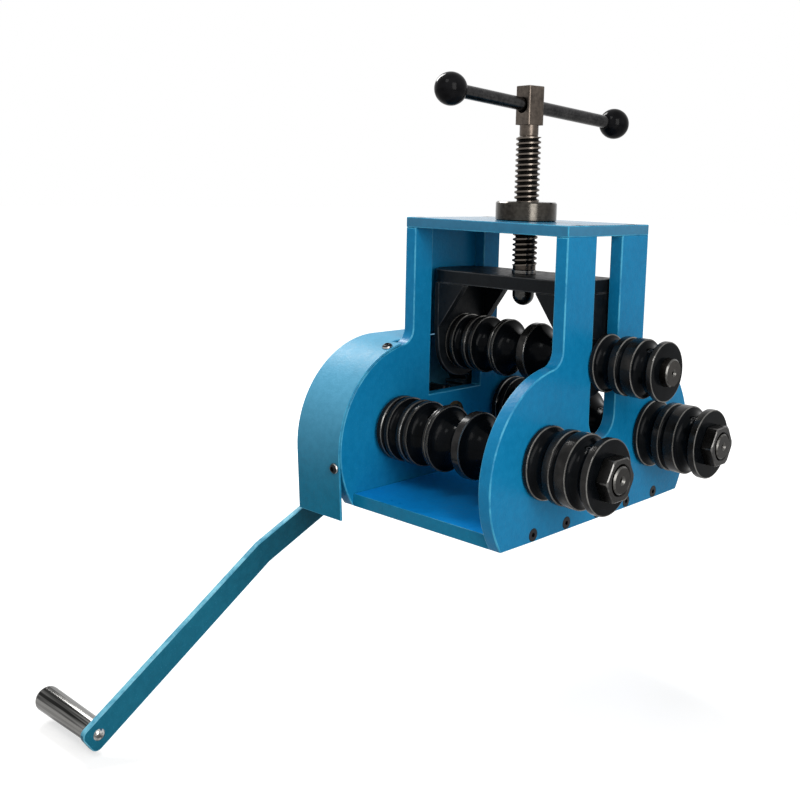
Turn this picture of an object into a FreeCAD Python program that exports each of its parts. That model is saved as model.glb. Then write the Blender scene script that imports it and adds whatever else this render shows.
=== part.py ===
import FreeCAD, Part
import Sketcher
import math
import os
import re

# Hand-driven three-shaft roll bender for pipe.
# X runs along the shafts, positive toward the outboard rollers; Y runs back; Z runs up.
# The origin is the middle of the base plate's underside. Lengths in millimetres, angles in degrees.

# Each row is a name, its value and what it measures.
SIZES = [
    # frame
    ("frame_half", 84.5, "from the middle to a side plate's inner face"),
    ("plate_thick", 13, "side plate thickness"),
    ("plate_top", 262, "height of the side plates"),
    ("post_half", 64, "half depth of a side plate above its lobes"),
    ("lobe_reach", 61.5, "from the middle to a lobe's centre"),
    ("lobe_high", 54, "height of the lobes' centres"),
    ("lobe_rim", 96, "radius of the lobes"),
    ("fillet_rim", 15, "radius between post and lobe"),
    ("right_slot_half", 20.2, "half width of the right plate's slot"),
    ("right_slot_low", 76, "height of the right slot's round floor"),
    ("left_slot_half", 39, "half width of the left plate's slot"),
    ("left_slot_low", 94.5, "height of the left slot's floor"),
    ("base_half", 141, "half depth of the base plate"),
    ("base_thick", 12, "base plate thickness"),
    ("cap_thick", 10, "top plate thickness"),
    ("seat_fit", 0.02, "radial gap of pressed and slipped-on pieces"),
    ("run_fit", 0.05, "radial gap of a turning or sliding fit"),
    ("face_gap", 0.1, "gap between faces that turn on each other"),
    ("screw_play", 0.3, "gap round threads and screw heads"),
    # countersunk screws
    ("sunk_head", 5.9, "radius of a countersunk head"),
    ("sunk_shank", 3, "radius of its shank"),
    ("sunk_reach", 10, "length of the screw past the plate it holds"),
    ("base_screw_gap", 48.5, "spacing of the base screws"),
    # screw nut
    ("nut_flange", 29.3, "radius of the feed nut above the top plate"),
    ("nut_tall", 18, "its height above the top plate"),
    ("nut_spigot", 18, "radius of the part in the top plate"),
    # carriage
    ("carriage_low", 208.3, "underside of the carriage plate"),
    ("carriage_thick", 13, "carriage plate thickness"),
    ("carriage_half", 38.8, "half depth of the carriage plate"),
    ("carriage_short", 1, "how far the carriage plate's left end stays inside the left plate's outer face"),
    ("carriage_play", 3, "gap between the carriage and the side plates' inner faces"),
    ("carriage_corner", 30, "corner radius of the carriage plate at the left"),
    ("end_half", 38, "half depth of an end plate"),
    ("end_thick", 5.5, "end plate thickness"),
    ("end_rim", 36, "radius of an end plate round the shaft"),
    ("boss_rim", 20, "radius of the right end plate's boss"),
    ("boss_short", 1.5, "how far that boss stays inside the right plate's outer face"),
    ("gusset_thick", 8, "gusset thickness"),
    ("gusset_long", 32, "length of a gusset under the carriage plate"),
    ("gusset_lip", 1.3, "height of that end"),
    ("gusset_narrow", 1.5, "length of a gusset at its lower end"),
    ("gusset_low", 165, "height of the gussets' lower end"),
    ("upper_bush", 16, "outer radius of the upper shaft's bushes"),
    # feed screw
    ("thread_rim", 12, "radius over the feed thread"),
    ("thread_low", 229, "lower end of the thread"),
    ("thread_top", 351, "upper end of the thread"),
    ("neck_rim", 9, "radius of the neck under the head"),
    ("head_low", 362, "underside of the square head"),
    ("head_top", 398, "top of the square head"),
    ("head_half", 10, "half the width across the head's flats"),
    ("head_rim", 13, "radius of the head's rounded corners"),
    ("bar_high", 380, "height of the cross hole"),
    ("bar_hole", 7.25, "radius of the cross hole"),
    ("collar_rim", 11, "radius of the collar on the feed screw"),
    ("ring_rim", 11.75, "radius of the thrust ring"),
    ("ring_thick", 3.7, "its thickness"),
    ("journal_rim", 8, "radius of the screw's journal in the carriage plate"),
    ("stud_rim", 6, "radius of the screw's lower end"),
    ("stud_low", 194.5, "its lower end"),
    ("washer_rim", 13, "radius of the retaining washer"),
    ("washer_thick", 3, "its thickness"),
    ("dome_rim", 10.5, "radius of the domed nut"),
    ("dome_low", 190.5, "its lowest point"),
    # T-bar
    ("bar_rim", 6.25, "radius of the T-bar"),
    ("bar_angle", -100.8, "direction of its near end seen from above"),
    ("bar_tilt", 5.34, "rise of its near end"),
    ("bar_near", 94, "from the screw's axis to the near ball's centre"),
    ("bar_far", 113.3, "from the screw's axis to the far ball's centre"),
    ("knob_rim", 15, "radius of the balls"),
    ("bar_pin", 4, "radius of the bar's ends in the balls"),
    ("bar_pin_long", 12, "length of those ends"),
    # shafts
    ("axle_reach", 85, "from the middle to a lower shaft"),
    ("axle_high", 68.7, "height of the lower shafts and the crank shaft"),
    ("axle_fat", 14, "radius of the lower shafts in their bushes"),
    ("axle_thin", 12.5, "radius of their ends and of the upper shaft"),
    ("axle_thread", 12, "radius of their threads"),
    ("axle_stick", 1.5, "length of the lower shafts past their right nuts"),
    ("axle_tail", 2, "length of the lower shafts past their gear nuts"),
    ("upper_high", 147, "height of the upper shaft"),
    ("upper_stick", 7, "length of the upper shaft past its outboard roller"),
    # bushes
    ("bush_rim", 18, "outer radius of the lower shafts' bushes"),
    ("bush_flange", 23, "radius of their flanges"),
    ("bush_flange_thick", 4, "thickness of their flanges"),
    # rollers between the side plates
    ("roller_gap", 0.5, "gap between the inner rollers and what stands beside them"),
    ("split_at", 63, "from the inner rollers' left end to the joint between the two of a shaft"),
    ("lower_rim", 31.5, "radius of the lower inner rollers"),
    ("lower_deepest", 14, "deepest groove of the lower inner rollers"),
    ("upper_rim", 28.3, "radius of the upper inner rollers"),
    ("upper_deepest", 12, "deepest groove of the upper inner rollers"),
    ("groove_a_at", 5, "from there to the first groove"),
    ("groove_a_wide", 5, "its width"),
    ("groove_b_at", 14, "from there to the second groove"),
    ("groove_b_wide", 12, "its width"),
    ("groove_c_at", 30, "from there to the third groove"),
    ("groove_c_wide", 5, "its width"),
    ("groove_d_at", 39, "from there to the fourth groove"),
    ("groove_d_wide", 21, "its width"),
    ("groove_e_at", 66, "from there to the fifth groove"),
    ("groove_e_wide", 30, "its width"),
    ("groove_f_at", 104, "from there to the sixth groove"),
    ("groove_f_short", 18, "from its right end to that of the lower inner rollers"),
    # outboard rollers
    ("outer_gap", 1.5, "gap between the outboard rollers and the right plate"),
    ("outer_lower_long", 65.5, "length of the lower ones"),
    ("outer_upper_long", 64, "length of the upper one"),
    ("outer_lower_rim", 33, "radius of the lower ones"),
    ("outer_upper_rim", 27, "radius of the upper one"),
    ("outer_deepest", 6.5, "deepest groove of the outboard rollers"),
    ("outer_a_at", 4, "from their inner end to their first groove"),
    ("outer_a_wide", 16, "its width"),
    ("outer_b_at", 26.5, "from their inner end to their second groove"),
    ("outer_b_wide", 6, "its width"),
    ("outer_c_at", 43, "from their inner end to their third groove"),
    ("outer_c_wide", 16, "its width"),
    # grub screws
    ("grub_rim", 3, "radius of the grub screws"),
    ("grub_lean", 24, "lean of the grub screws toward the front"),
    ("grub_sink", 0.6, "depth of a grub screw below the groove"),
    # shaft nuts
    ("nut_half", 18, "half the width across a shaft nut's flats"),
    ("nut_thick", 11.5, "thickness of the right shaft nuts"),
    ("gear_nut_thick", 12, "thickness of the gear nuts"),
    # gears
    ("tooth_module", 2.5, "pitch diameter over tooth number"),
    ("tooth_pressure", 20, "pressure angle"),
    ("tooth_slack", 0.12, "thinning of each tooth at the pitch circle"),
    ("gear_teeth", 48, "teeth of a shaft gear"),
    ("pinion_teeth", 20, "teeth of the crank pinion"),
    ("gear_gap", 3.5, "gap between the gears and the left plate"),
    ("gear_wide", 24, "face width of the gears"),
    ("pinion_ahead", 0.5, "how far the pinion starts before the gears"),
    ("pinion_wide", 26, "face width of the pinion"),
    # covers
    ("sheet", 2, "thickness of the cover sheet"),
    ("cover_gap", 0.3, "gap between the gear cover and the plate's edge"),
    ("cover_clear", 4, "gap between the lower shafts' ends and the cover's face"),
    ("cover_lean", 3.3, "inward lean of the cover's front and rear"),
    ("cover_drop", 12, "depth of the cover below the base"),
    ("cover_notch", 80, "half width of the notch round the posts"),
    ("slot_cover_half", 46, "half width of the slot cover"),
    ("slot_cover_low", 153, "its lower edge"),
    ("button_rim", 5.2, "radius of a cover screw's head"),
    ("button_tall", 3.2, "its height"),
    ("button_reach", 18, "length of its shank"),
    ("button_high_turn", 18.7, "angle of the upper cover screws off upright"),
    ("button_low_drop", 10, "lower cover screws below the lobe's centre line"),
    # crank
    ("crank_rim", 10, "radius of the crank shaft"),
    ("crank_inset", 0.5, "how far the crank shaft's inner end stays inside the left plate"),
    ("crank_collar", 14, "radius of its collar"),
    ("collar_gap", 0.7, "gap between the collar and the cover's bush"),
    ("crank_flat", 8, "half the width across its flats"),
    ("crank_stud", 8, "radius of its threaded end"),
    ("crank_stick", 2, "length of the crank shaft past its nut"),
    ("crank_bush", 14, "outer radius of the crank bushes"),
    ("crank_bush_flange", 17, "radius of their flanges"),
    ("crank_bush_lip", 2.5, "thickness of their flanges"),
    ("arm_gap", 2, "gap between the arm and the gear cover"),
    ("arm_thick", 6, "arm thickness"),
    ("arm_half", 12.5, "half width of the arm"),
    ("arm_long", 437, "from the hub to the grip's axis"),
    ("arm_corner", 7, "corner radius of the arm's far end"),
    ("arm_step", 16.5, "outward step of the arm"),
    ("arm_step_from", 150, "start of that step from the hub"),
    ("arm_step_to", 223, "end of that step"),
    ("crank_lean", 34.1, "arm's angle below level, toward the front"),
    ("crank_nut_half", 12, "half the width across the hub nut's flats"),
    ("crank_nut_thick", 13, "its thickness"),
    # grip
    ("grip_gap", 0.5, "gap between grip and arm"),
    ("grip_long", 89.5, "length of the grip"),
    ("grip_thin", 10.5, "its radius at the arm"),
    ("grip_fat", 11.75, "its radius at the free end"),
    ("grip_round", 5, "rounding of the free end"),
    ("spindle_rim", 6, "radius of the spindle inside the grip"),
    ("spindle_long", 80, "its length"),
    ("rivet_rim", 4, "radius of the spindle's end in the arm"),
    ("dome_head", 5.4, "radius of the domed end on the arm's inner face"),
    ("dome_head_tall", 2.6, "its height"),
]

# Places that follow from the sizes, as distances from the middle of the frame.
PLACES = {
    "plate_out": "frame_half + plate_thick",
    "plate_middle": "frame_half + plate_thick / 2",
    "roof": "plate_top + cap_thick",
    "carriage_left": "plate_out - carriage_short",
    "carriage_right": "frame_half - carriage_play",
    "carriage_top": "carriage_low + carriage_thick",
    "end_in": "carriage_right - end_thick",
    "boss_end": "plate_out - boss_short",
    "gusset_foot": "end_in - gusset_long",
    "gusset_waist": "end_in - gusset_narrow",
    "roller_end": "frame_half - bush_flange_thick - roller_gap",
    "roller_split": "split_at - roller_end",
    "upper_end": "end_in - roller_gap",
    "groove_a_from": "groove_a_at - roller_end",
    "groove_b_from": "groove_b_at - roller_end",
    "groove_c_from": "groove_c_at - roller_end",
    "groove_d_from": "groove_d_at - roller_end",
    "groove_e_from": "groove_e_at - roller_end",
    "groove_f_from": "groove_f_at - roller_end",
    "groove_f_wide": "roller_end - groove_f_short - groove_f_from",
    "outer_from": "plate_out + outer_gap",
    "outer_lower_to": "outer_from + outer_lower_long",
    "outer_upper_to": "outer_from + outer_upper_long",
    "outer_a_from": "outer_from + outer_a_at",
    "outer_b_from": "outer_from + outer_b_at",
    "outer_c_from": "outer_from + outer_c_at",
    "axle_shoulder": "outer_from - 2 * face_gap",
    "axle_right": "outer_lower_to + nut_thick + axle_stick",
    "upper_left": "carriage_right - 4 * face_gap",
    "upper_right": "outer_upper_to + upper_stick",
    "gear_from": "plate_out + gear_gap",
    "gear_to": "gear_from + gear_wide",
    "axle_left": "gear_to + gear_nut_thick + axle_tail",
    "pinion_from": "gear_from - pinion_ahead",
    "pinion_to": "pinion_from + pinion_wide",
    "cover_out": "axle_left + cover_clear + sheet",
    "cover_in": "lobe_rim + cover_gap",
    "cover_rim": "cover_in + sheet",
    "crank_from": "frame_half + crank_inset",
    "crank_collar_end": "cover_out - sheet - crank_bush_lip - collar_gap",
    "arm_from": "cover_out + arm_gap",
    "arm_out": "arm_from + arm_step",
    "arm_far": "arm_out + arm_thick",
    "crank_tip": "arm_from + arm_thick + crank_nut_thick + crank_stick",
    "collar_low": "carriage_top + ring_thick",
    "shoulder": "carriage_low - face_gap",
    "washer_low": "shoulder - washer_thick",
    "knob_seat": "sqrt(knob_rim^2 - bar_rim^2)",
    "grip_from": "arm_far + grip_gap",
    "grip_to": "grip_from + grip_long",
}

doc = FreeCAD.newDocument("pipe_bender")
sheet = doc.addObject("Spreadsheet::Sheet", "sizes")
for row, (word, value, note) in enumerate(SIZES, start=1):
    sheet.set("A%d" % row, str(value))
    sheet.setAlias("A%d" % row, word)
    sheet.set("B%d" % row, note)
doc.recompute()

WORDS = set(word for word, value, note in SIZES)
NODES = []
AXIS_X = FreeCAD.Vector(1, 0, 0)
AXIS_Z = FreeCAD.Vector(0, 0, 1)
TINY = 1e-7


def unfold(text):
    """An expression with every place written out in sizes."""
    return re.sub(r"[a-z_]+", lambda hit: "(" + unfold(PLACES[hit.group()]) + ")" if hit.group() in PLACES
                  else hit.group(), text)


def bound(text):
    """An expression with every size word pointing at the sheet."""
    return re.sub(r"[a-z_]+", lambda hit: "sizes." + hit.group() if hit.group() in WORDS else hit.group(),
                  unfold(text))


def num(text):
    """The present value of an expression of sizes and places."""
    found = sheet.evalExpression(unfold(text))
    return float(getattr(found, "Value", found))


def place(thing, x="0", y="0", z="0", turn=None):
    """Stand an object at x, y, z; turn is a rotation that the object gets first."""
    if turn is not None:
        thing.Placement = FreeCAD.Placement(FreeCAD.Vector(), turn)
    for letter, text in (("x", x), ("y", y), ("z", z)):
        if text != "0":
            thing.setExpression("Placement.Base." + letter, bound(text))
    return thing


def node(thing, name):
    """Mark an object as a finished piece."""
    thing.Label = name
    NODES.append(thing)
    return thing


def new_body(name, x="0", y="0", z="0", turn=None):
    return place(doc.addObject("PartDesign::Body", name), x, y, z, turn)


def new_sketch(body, role, offset="0"):
    """A sketch on one of the body's own planes, moved along the plane's normal."""
    flat = [part for part in body.Origin.OriginFeatures if part.Role == role][0]
    drawn = body.newObject("Sketcher::SketchObject", body.Name + "_sketch")
    drawn.AttachmentSupport = [(flat, "")]
    drawn.MapMode = "FlatFace"
    if offset != "0":
        drawn.setExpression("AttachmentOffset.Base.z", bound(offset))
    return drawn


def pin(drawn, piece, end, x, y):
    """Hold a sketch point at x, y."""
    for kind, axis, text in (("DistanceX", -2, x), ("DistanceY", -1, y)):
        value = num(text)
        if abs(value) < TINY:
            drawn.addConstraint(Sketcher.Constraint("PointOnObject", piece, end, axis))
        else:
            held = drawn.addConstraint(Sketcher.Constraint(kind, -1, 1, piece, end, value))
            drawn.setExpression("Constraints[%d]" % held, bound(text))


def outline(drawn, points, arcs=None):
    """A closed outline. arcs gives, for a side's number, its centre and the way round it."""
    arcs = arcs or {}
    first = drawn.GeometryCount
    spots = [FreeCAD.Vector(num(x), num(y), 0) for x, y in points]
    ends = []
    for side, start in enumerate(spots):
        stop = spots[(side + 1) % len(spots)]
        if side not in arcs:
            drawn.addGeometry(Part.LineSegment(start, stop), False)
            ends.append((1, 2))
            continue
        middle_x, middle_y, way = arcs[side]
        middle = FreeCAD.Vector(num(middle_x), num(middle_y), 0)
        circle = Part.Circle(middle, AXIS_Z, (start - middle).Length)
        angles = [math.atan2(spot.y - middle.y, spot.x - middle.x) for spot in (start, stop)]
        if way == "right":
            angles.reverse()
        drawn.addGeometry(Part.ArcOfCircle(circle, angles[0], angles[1]), False)
        ends.append((1, 2) if way == "left" else (2, 1))
        chord = stop - start
        kind, text = ("DistanceX", middle_x) if abs(chord.y) > abs(chord.x) else ("DistanceY", middle_y)
        value = num(text)
        if abs(value) < TINY:
            axis = -2 if kind == "DistanceX" else -1
            drawn.addConstraint(Sketcher.Constraint("PointOnObject", first + side, 3, axis))
        else:
            held = drawn.addConstraint(Sketcher.Constraint(kind, -1, 1, first + side, 3, value))
            drawn.setExpression("Constraints[%d]" % held, bound(text))
    for side in range(len(points)):
        after = (side + 1) % len(points)
        joined = (first + side, ends[side][1], first + after, ends[after][0])
        drawn.addConstraint(Sketcher.Constraint("Coincident", *joined))
        pin(drawn, first + side, ends[side][0], points[side][0], points[side][1])


def ring(drawn, x, y, radius):
    """A circle in a sketch."""
    piece = drawn.addGeometry(Part.Circle(FreeCAD.Vector(num(x), num(y), 0), AXIS_Z, num(radius)), False)
    pin(drawn, piece, 3, x, y)
    held = drawn.addConstraint(Sketcher.Constraint("Radius", piece, num(radius)))
    drawn.setExpression("Constraints[%d]" % held, bound(radius))


def pad(body, drawn, long, middle=False):
    """Thicken a sketch along its normal, or to both sides."""
    grown = body.newObject("PartDesign::Pad", body.Name + "_pad")
    grown.Profile = drawn
    grown.Midplane = middle
    grown.setExpression("Length", bound(long))
    body.Tip = grown
    doc.recompute()
    return grown


def pierce(body, drawn, long):
    """Cut a sketch out of the body to both sides."""
    cut_out = body.newObject("PartDesign::Pocket", body.Name + "_pocket")
    cut_out.Profile = drawn
    cut_out.Midplane = True
    cut_out.setExpression("Length", bound(long))
    body.Tip = cut_out
    doc.recompute()
    return cut_out


def spin(body, role, axis, points, arcs=None):
    """Revolve an outline all the way round one of the sketch's own axes."""
    drawn = new_sketch(body, role)
    outline(drawn, points, arcs)
    turned = body.newObject("PartDesign::Revolution", body.Name + "_revolution")
    turned.Profile = drawn
    turned.ReferenceAxis = (drawn, [axis])
    turned.Angle = 360
    body.Tip = turned
    doc.recompute()
    return turned


def spin_x(name, points, arcs=None, x="0", y="0", z="0", turn=None):
    """A turned piece whose axis runs along X; points are place along X and radius."""
    body = new_body(name, x, y, z, turn)
    spin(body, "XY_Plane", "H_Axis", points, arcs)
    return body


def spin_z(name, points, arcs=None):
    """A turned piece on the feed screw's axis; points are radius and height."""
    body = new_body(name)
    spin(body, "XZ_Plane", "V_Axis", points, arcs)
    return body


def steps(cuts, bore=None):
    """Outline of a stepped shaft or sleeve from pairs of place and the radius up to the next place."""
    points = []
    floor = bore or "0"
    points.append((cuts[0][0], floor))
    for (start, radius), (stop, unused) in zip(cuts[:-1], cuts[1:]):
        points.append((start, radius))
        points.append((stop, radius))
    points.append((cuts[-1][0], floor))
    return points


def peg(name, radius, long, x, y, z, aim):
    """A round bar from x, y, z along aim."""
    bar = doc.addObject("Part::Cylinder", name)
    bar.setExpression("Radius", bound(radius))
    bar.setExpression("Height", bound(long))
    return place(bar, x, y, z, FreeCAD.Rotation(AXIS_Z, aim))


def group(name, things):
    """Separate solids kept together."""
    held = doc.addObject("Part::Compound", name)
    held.Links = things
    return held


def cut(name, base, tools):
    """A piece less other shapes."""
    left = doc.addObject("Part::Cut", name)
    left.Base = base
    left.Tool = tools[0] if len(tools) == 1 else group(name + "_tools", tools)
    return left


def fuse(name, things):
    """Shapes grown into one."""
    joined = doc.addObject("Part::MultiFuse", name)
    joined.Shapes = things
    return joined


def less(text):
    """The mirrored place of an expression."""
    return "-(" + text + ")"


SIDES = ((-1, "front"), (1, "rear"))


def signed(way, text):
    return text if way > 0 else less(text)


# Countersunk screws: a flush cone on a plain shank, one row of five in each side plate's outer
# face and one in each corner of the top plate. The holes follow the screws with screw_play round them.
def sunk_screw(name, x, y, z, aim, through, play):
    head = doc.addObject("Part::Cone", name + "_head")
    head.setExpression("Radius1", bound("sunk_head + " + play))
    head.setExpression("Radius2", bound("sunk_shank + " + play))
    head.setExpression("Height", bound("sunk_head - sunk_shank"))
    place(head, x, y, z, FreeCAD.Rotation(AXIS_Z, aim))
    shank = peg(name + "_shank", "sunk_shank + " + play, through + " + sunk_reach + " + play, x, y, z, aim)
    return fuse(name, [head, shank])


def base_row(name, way, play):
    row = []
    for place_no in (-2, -1, 0, 1, 2):
        x = signed(way, "plate_out")
        y = "%d * base_screw_gap" % place_no
        row.append(sunk_screw("%s_%d" % (name, place_no + 2), x, y, "base_thick / 2", AXIS_X * -way, "plate_thick", play))
    return row


def cap_row(name, way, slot_half, play):
    row = []
    for side, word in SIDES:
        y = signed(side, "(%s + post_half) / 2" % slot_half)
        row.append(sunk_screw(name + "_" + word, signed(way, "plate_middle"), y, "roof", AXIS_Z * -1, "cap_thick", play))
    return row


node(group("base_screws_right", base_row("base_screw_right", 1, "0")), "base_screws_right")
node(group("base_screws_left", base_row("base_screw_left", -1, "0")), "base_screws_left")
cap_screws = cap_row("cap_screw_right", 1, "right_slot_half", "0")
cap_screws += cap_row("cap_screw_left", -1, "left_slot_half", "0")
node(group("top_plate_screws", cap_screws), "top_plate_screws")
base_holes_right = base_row("base_hole_right", 1, "screw_play")
base_holes_left = base_row("base_hole_left", -1, "screw_play")
cap_holes_right = cap_row("cap_hole_right", 1, "right_slot_half", "screw_play")
cap_holes_left = cap_row("cap_hole_left", -1, "left_slot_half", "screw_play")


# Cover screws: button heads over the gear cover, shanks across its sheet into the left plate's edge.
# The upper pair points at the lobes' centres, the lower pair stands square on the cover's straight part.
def cover_pegs(name, radius, start, long):
    pegs = []
    for side, word in SIDES:
        high = math.radians(num("button_high_turn"))
        aim = FreeCAD.Vector(0, side * math.sin(high), math.cos(high))
        y = signed(side, "(lobe_reach + (%s) * sin(button_high_turn))" % start)
        z = "lobe_high + (%s) * cos(button_high_turn)" % start
        pegs.append(peg(name + "_high_" + word, radius, long, "-plate_middle", y, z, aim))
        low = math.radians(num("cover_lean"))
        aim = FreeCAD.Vector(0, side * math.cos(low), -math.sin(low))
        shift = "button_low_drop * sin(cover_lean)"
        y = signed(side, "(lobe_reach + (%s) * cos(cover_lean) - %s)" % (start, shift))
        z = "lobe_high - (%s) * sin(cover_lean) - button_low_drop * cos(cover_lean)" % start
        pegs.append(peg(name + "_low_" + word, radius, long, "-plate_middle", y, z, aim))
    return pegs


heads = cover_pegs("button_head", "button_rim", "cover_rim", "button_tall")
shanks = cover_pegs("button_shank", "sunk_shank", "cover_rim - button_reach", "button_reach")
buttons = [fuse("button_%d" % number, pair) for number, pair in enumerate(zip(heads, shanks))]
node(group("gear_cover_screws", buttons), "gear_cover_screws")
button_holes = cover_pegs("button_hole", "sunk_shank + screw_play", "cover_rim - button_reach - screw_play",
                          "button_reach + 2 * screw_play")


# Side plates: posts above, two round lobes over the lower shafts, a slot open at the top for the
# carriage, round below in the right plate and square in the left, bores for the pressed-in bushes.
def plate_outline(drawn, slot_half, slot_low, round_floor=False):
    foot = "(lobe_reach + sqrt(lobe_rim^2 - lobe_high^2))"
    fillet_y = "(post_half + fillet_rim)"
    rise = "sqrt((lobe_rim + fillet_rim)^2 - (post_half + fillet_rim - lobe_reach)^2)"
    fillet_z = "(lobe_high + %s)" % rise
    share = "lobe_rim / (lobe_rim + fillet_rim)"
    touch_y = "(lobe_reach + %s * (post_half + fillet_rim - lobe_reach))" % share
    touch_z = "(lobe_high + %s * %s)" % (share, rise)
    floor = "%s + %s" % (slot_low, slot_half) if round_floor else slot_low
    half = [(foot, "0"), (touch_y, touch_z), ("post_half", fillet_z), ("post_half", "plate_top"),
            (slot_half, "plate_top"), (slot_half, floor)]
    mirrored = [(less(y), z) for y, z in reversed(half)]
    arcs = {
        0: ("lobe_reach", "lobe_high", "left"),
        1: (fillet_y, fillet_z, "right"),
        9: (less(fillet_y), fillet_z, "right"),
        10: (less("lobe_reach"), "lobe_high", "left"),
    }
    if round_floor:
        arcs[5] = ("0", floor, "right")
    outline(drawn, half + mirrored, arcs)
    for side, word in SIDES:
        ring(drawn, signed(side, "axle_reach"), "axle_high", "bush_rim + seat_fit")


right_blank = new_body("right_blank", "frame_half")
right_face = new_sketch(right_blank, "YZ_Plane")
plate_outline(right_face, "right_slot_half", "right_slot_low", round_floor=True)
pad(right_blank, right_face, "plate_thick")
node(cut("right_side_plate", right_blank, base_holes_right + cap_holes_right), "right_side_plate")

left_blank = new_body("left_blank", "-plate_out")
left_face = new_sketch(left_blank, "YZ_Plane")
plate_outline(left_face, "left_slot_half", "left_slot_low")
ring(left_face, "0", "axle_high", "crank_bush + seat_fit")
pad(left_blank, left_face, "plate_thick")
left_tools = base_holes_left + cap_holes_left + button_holes
node(cut("left_side_plate", left_blank, left_tools), "left_side_plate")

# Base plate between the side plates, tapped in its edges for the base screws.
base_blank = doc.addObject("Part::Box", "base_blank")
base_blank.setExpression("Length", bound("2 * frame_half"))
base_blank.setExpression("Width", bound("2 * base_half"))
base_blank.setExpression("Height", bound("base_thick"))
place(base_blank, "-frame_half", "-base_half")
node(cut("base_plate", base_blank, base_holes_right + base_holes_left), "base_plate")

# Top plate over both side plates, bored for the feed nut and countersunk at its corners.
cap_blank = new_body("cap_blank", z="plate_top")
cap_face = new_sketch(cap_blank, "XY_Plane")
outline(cap_face, [("-plate_out", "-post_half"), ("plate_out", "-post_half"), ("plate_out", "post_half"),
                   ("-plate_out", "post_half")])
ring(cap_face, "0", "0", "nut_spigot + seat_fit")
pad(cap_blank, cap_face, "cap_thick")
node(cut("top_plate", cap_blank, cap_holes_right + cap_holes_left), "top_plate")

# Feed nut: a turned flange on the top plate with a spigot through it.
feed_nut = spin_z("screw_nut", [
    ("thread_rim + run_fit", "plate_top"), ("nut_spigot", "plate_top"), ("nut_spigot", "roof"),
    ("nut_flange", "roof"), ("nut_flange", "roof + nut_tall"), ("thread_rim + run_fit", "roof + nut_tall")])
node(feed_nut, "screw_nut")

# Slot cover: flat sheet welded on the left plate's outer face over the slot.
slot_sheet = doc.addObject("Part::Box", "slot_cover")
slot_sheet.setExpression("Length", bound("sheet"))
slot_sheet.setExpression("Width", bound("2 * slot_cover_half"))
slot_sheet.setExpression("Height", bound("plate_top - slot_cover_low"))
place(slot_sheet, less("plate_out + sheet"), "-slot_cover_half", "slot_cover_low")
node(slot_sheet, "slot_cover")

# Gear cover: a sheet band over the left plate's edge, closed at its outer face, open below.
cover_blank = new_body("cover_blank", "-cover_out")


def cover_half(radius):
    """Rear half of the cover's outline at a radius, from the lower edge up to the crown."""
    touch_y = "(lobe_reach + %s * cos(cover_lean))" % radius
    touch_z = "(lobe_high - %s * sin(cover_lean))" % radius
    foot = "(%s - (%s + cover_drop) * tan(cover_lean))" % (touch_y, touch_z)
    return [(foot, "-cover_drop"), (touch_y, touch_z), ("lobe_reach", "lobe_high + " + radius)]


def across(points):
    return [(less(y), z) for y, z in reversed(points)]


cover_face = new_sketch(cover_blank, "YZ_Plane")
crown = ("lobe_reach", "lobe_high", "left")
crown_front = (less("lobe_reach"), "lobe_high", "left")
outline(cover_face, cover_half("cover_rim") + across(cover_half("cover_rim")), {1: crown, 3: crown_front})
ring(cover_face, "0", "axle_high", "crank_bush + screw_play")
pad(cover_blank, cover_face, "sheet")
cover_band = new_sketch(cover_blank, "YZ_Plane")
outside = cover_half("cover_rim") + across(cover_half("cover_rim"))
inside = [(less(y), z) for y, z in cover_half("cover_in")] + cover_half("cover_in")[::-1]
outline(cover_band, outside + inside, {
    1: crown, 3: crown_front,
    7: (less("lobe_reach"), "lobe_high", "right"), 9: ("lobe_reach", "lobe_high", "right")})
pad(cover_blank, cover_band, "cover_out - frame_half")
notch = doc.addObject("Part::Box", "cover_notch_box")
notch.setExpression("Length", bound("plate_thick + 2 * cover_gap"))
notch.setExpression("Width", bound("2 * cover_notch"))
notch.setExpression("Height", bound("lobe_rim"))
place(notch, less("plate_out + cover_gap"), "-cover_notch", "lobe_high + lobe_rim / 2")
node(cut("gear_cover", cover_blank, [notch] + button_holes), "gear_cover")

# Bushes of the lower shafts: pressed in from inside, flange toward the rollers.
for side, word in SIDES:
    for way, hand in ((-1, "left"), (1, "right")):
        cuts = [("frame_half - bush_flange_thick", "bush_flange"), ("frame_half", "bush_rim"), ("plate_out", "0")]
        if way < 0:
            cuts = [("-plate_out", "bush_rim"), ("-frame_half", "bush_flange"),
                    ("-frame_half + bush_flange_thick", "0")]
        name = "bush_%s_%s" % (word, hand)
        bush = spin_x(name, steps(cuts, "axle_fat + run_fit"), y=signed(side, "axle_reach"), z="axle_high")
        node(bush, name)

# Crank bushes: one in the left plate with its flange outside, one in the cover with its flange inside.
inner_cuts = [(less("plate_out + crank_bush_lip"), "crank_bush_flange"), ("-plate_out", "crank_bush"),
              ("-frame_half", "0")]
inner_bush = spin_x("crank_bush_inner", steps(inner_cuts, "crank_rim + run_fit"), z="axle_high")
node(inner_bush, "crank_bush_inner")
outer_cuts = [("-arm_from + 4 * face_gap", "crank_bush"), ("-cover_out + sheet", "crank_bush_flange"),
              ("-cover_out + sheet + crank_bush_lip", "0")]
outer_bush = spin_x("crank_bush_outer", steps(outer_cuts, "crank_rim + run_fit"), z="axle_high")
node(outer_bush, "crank_bush_outer")

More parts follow.
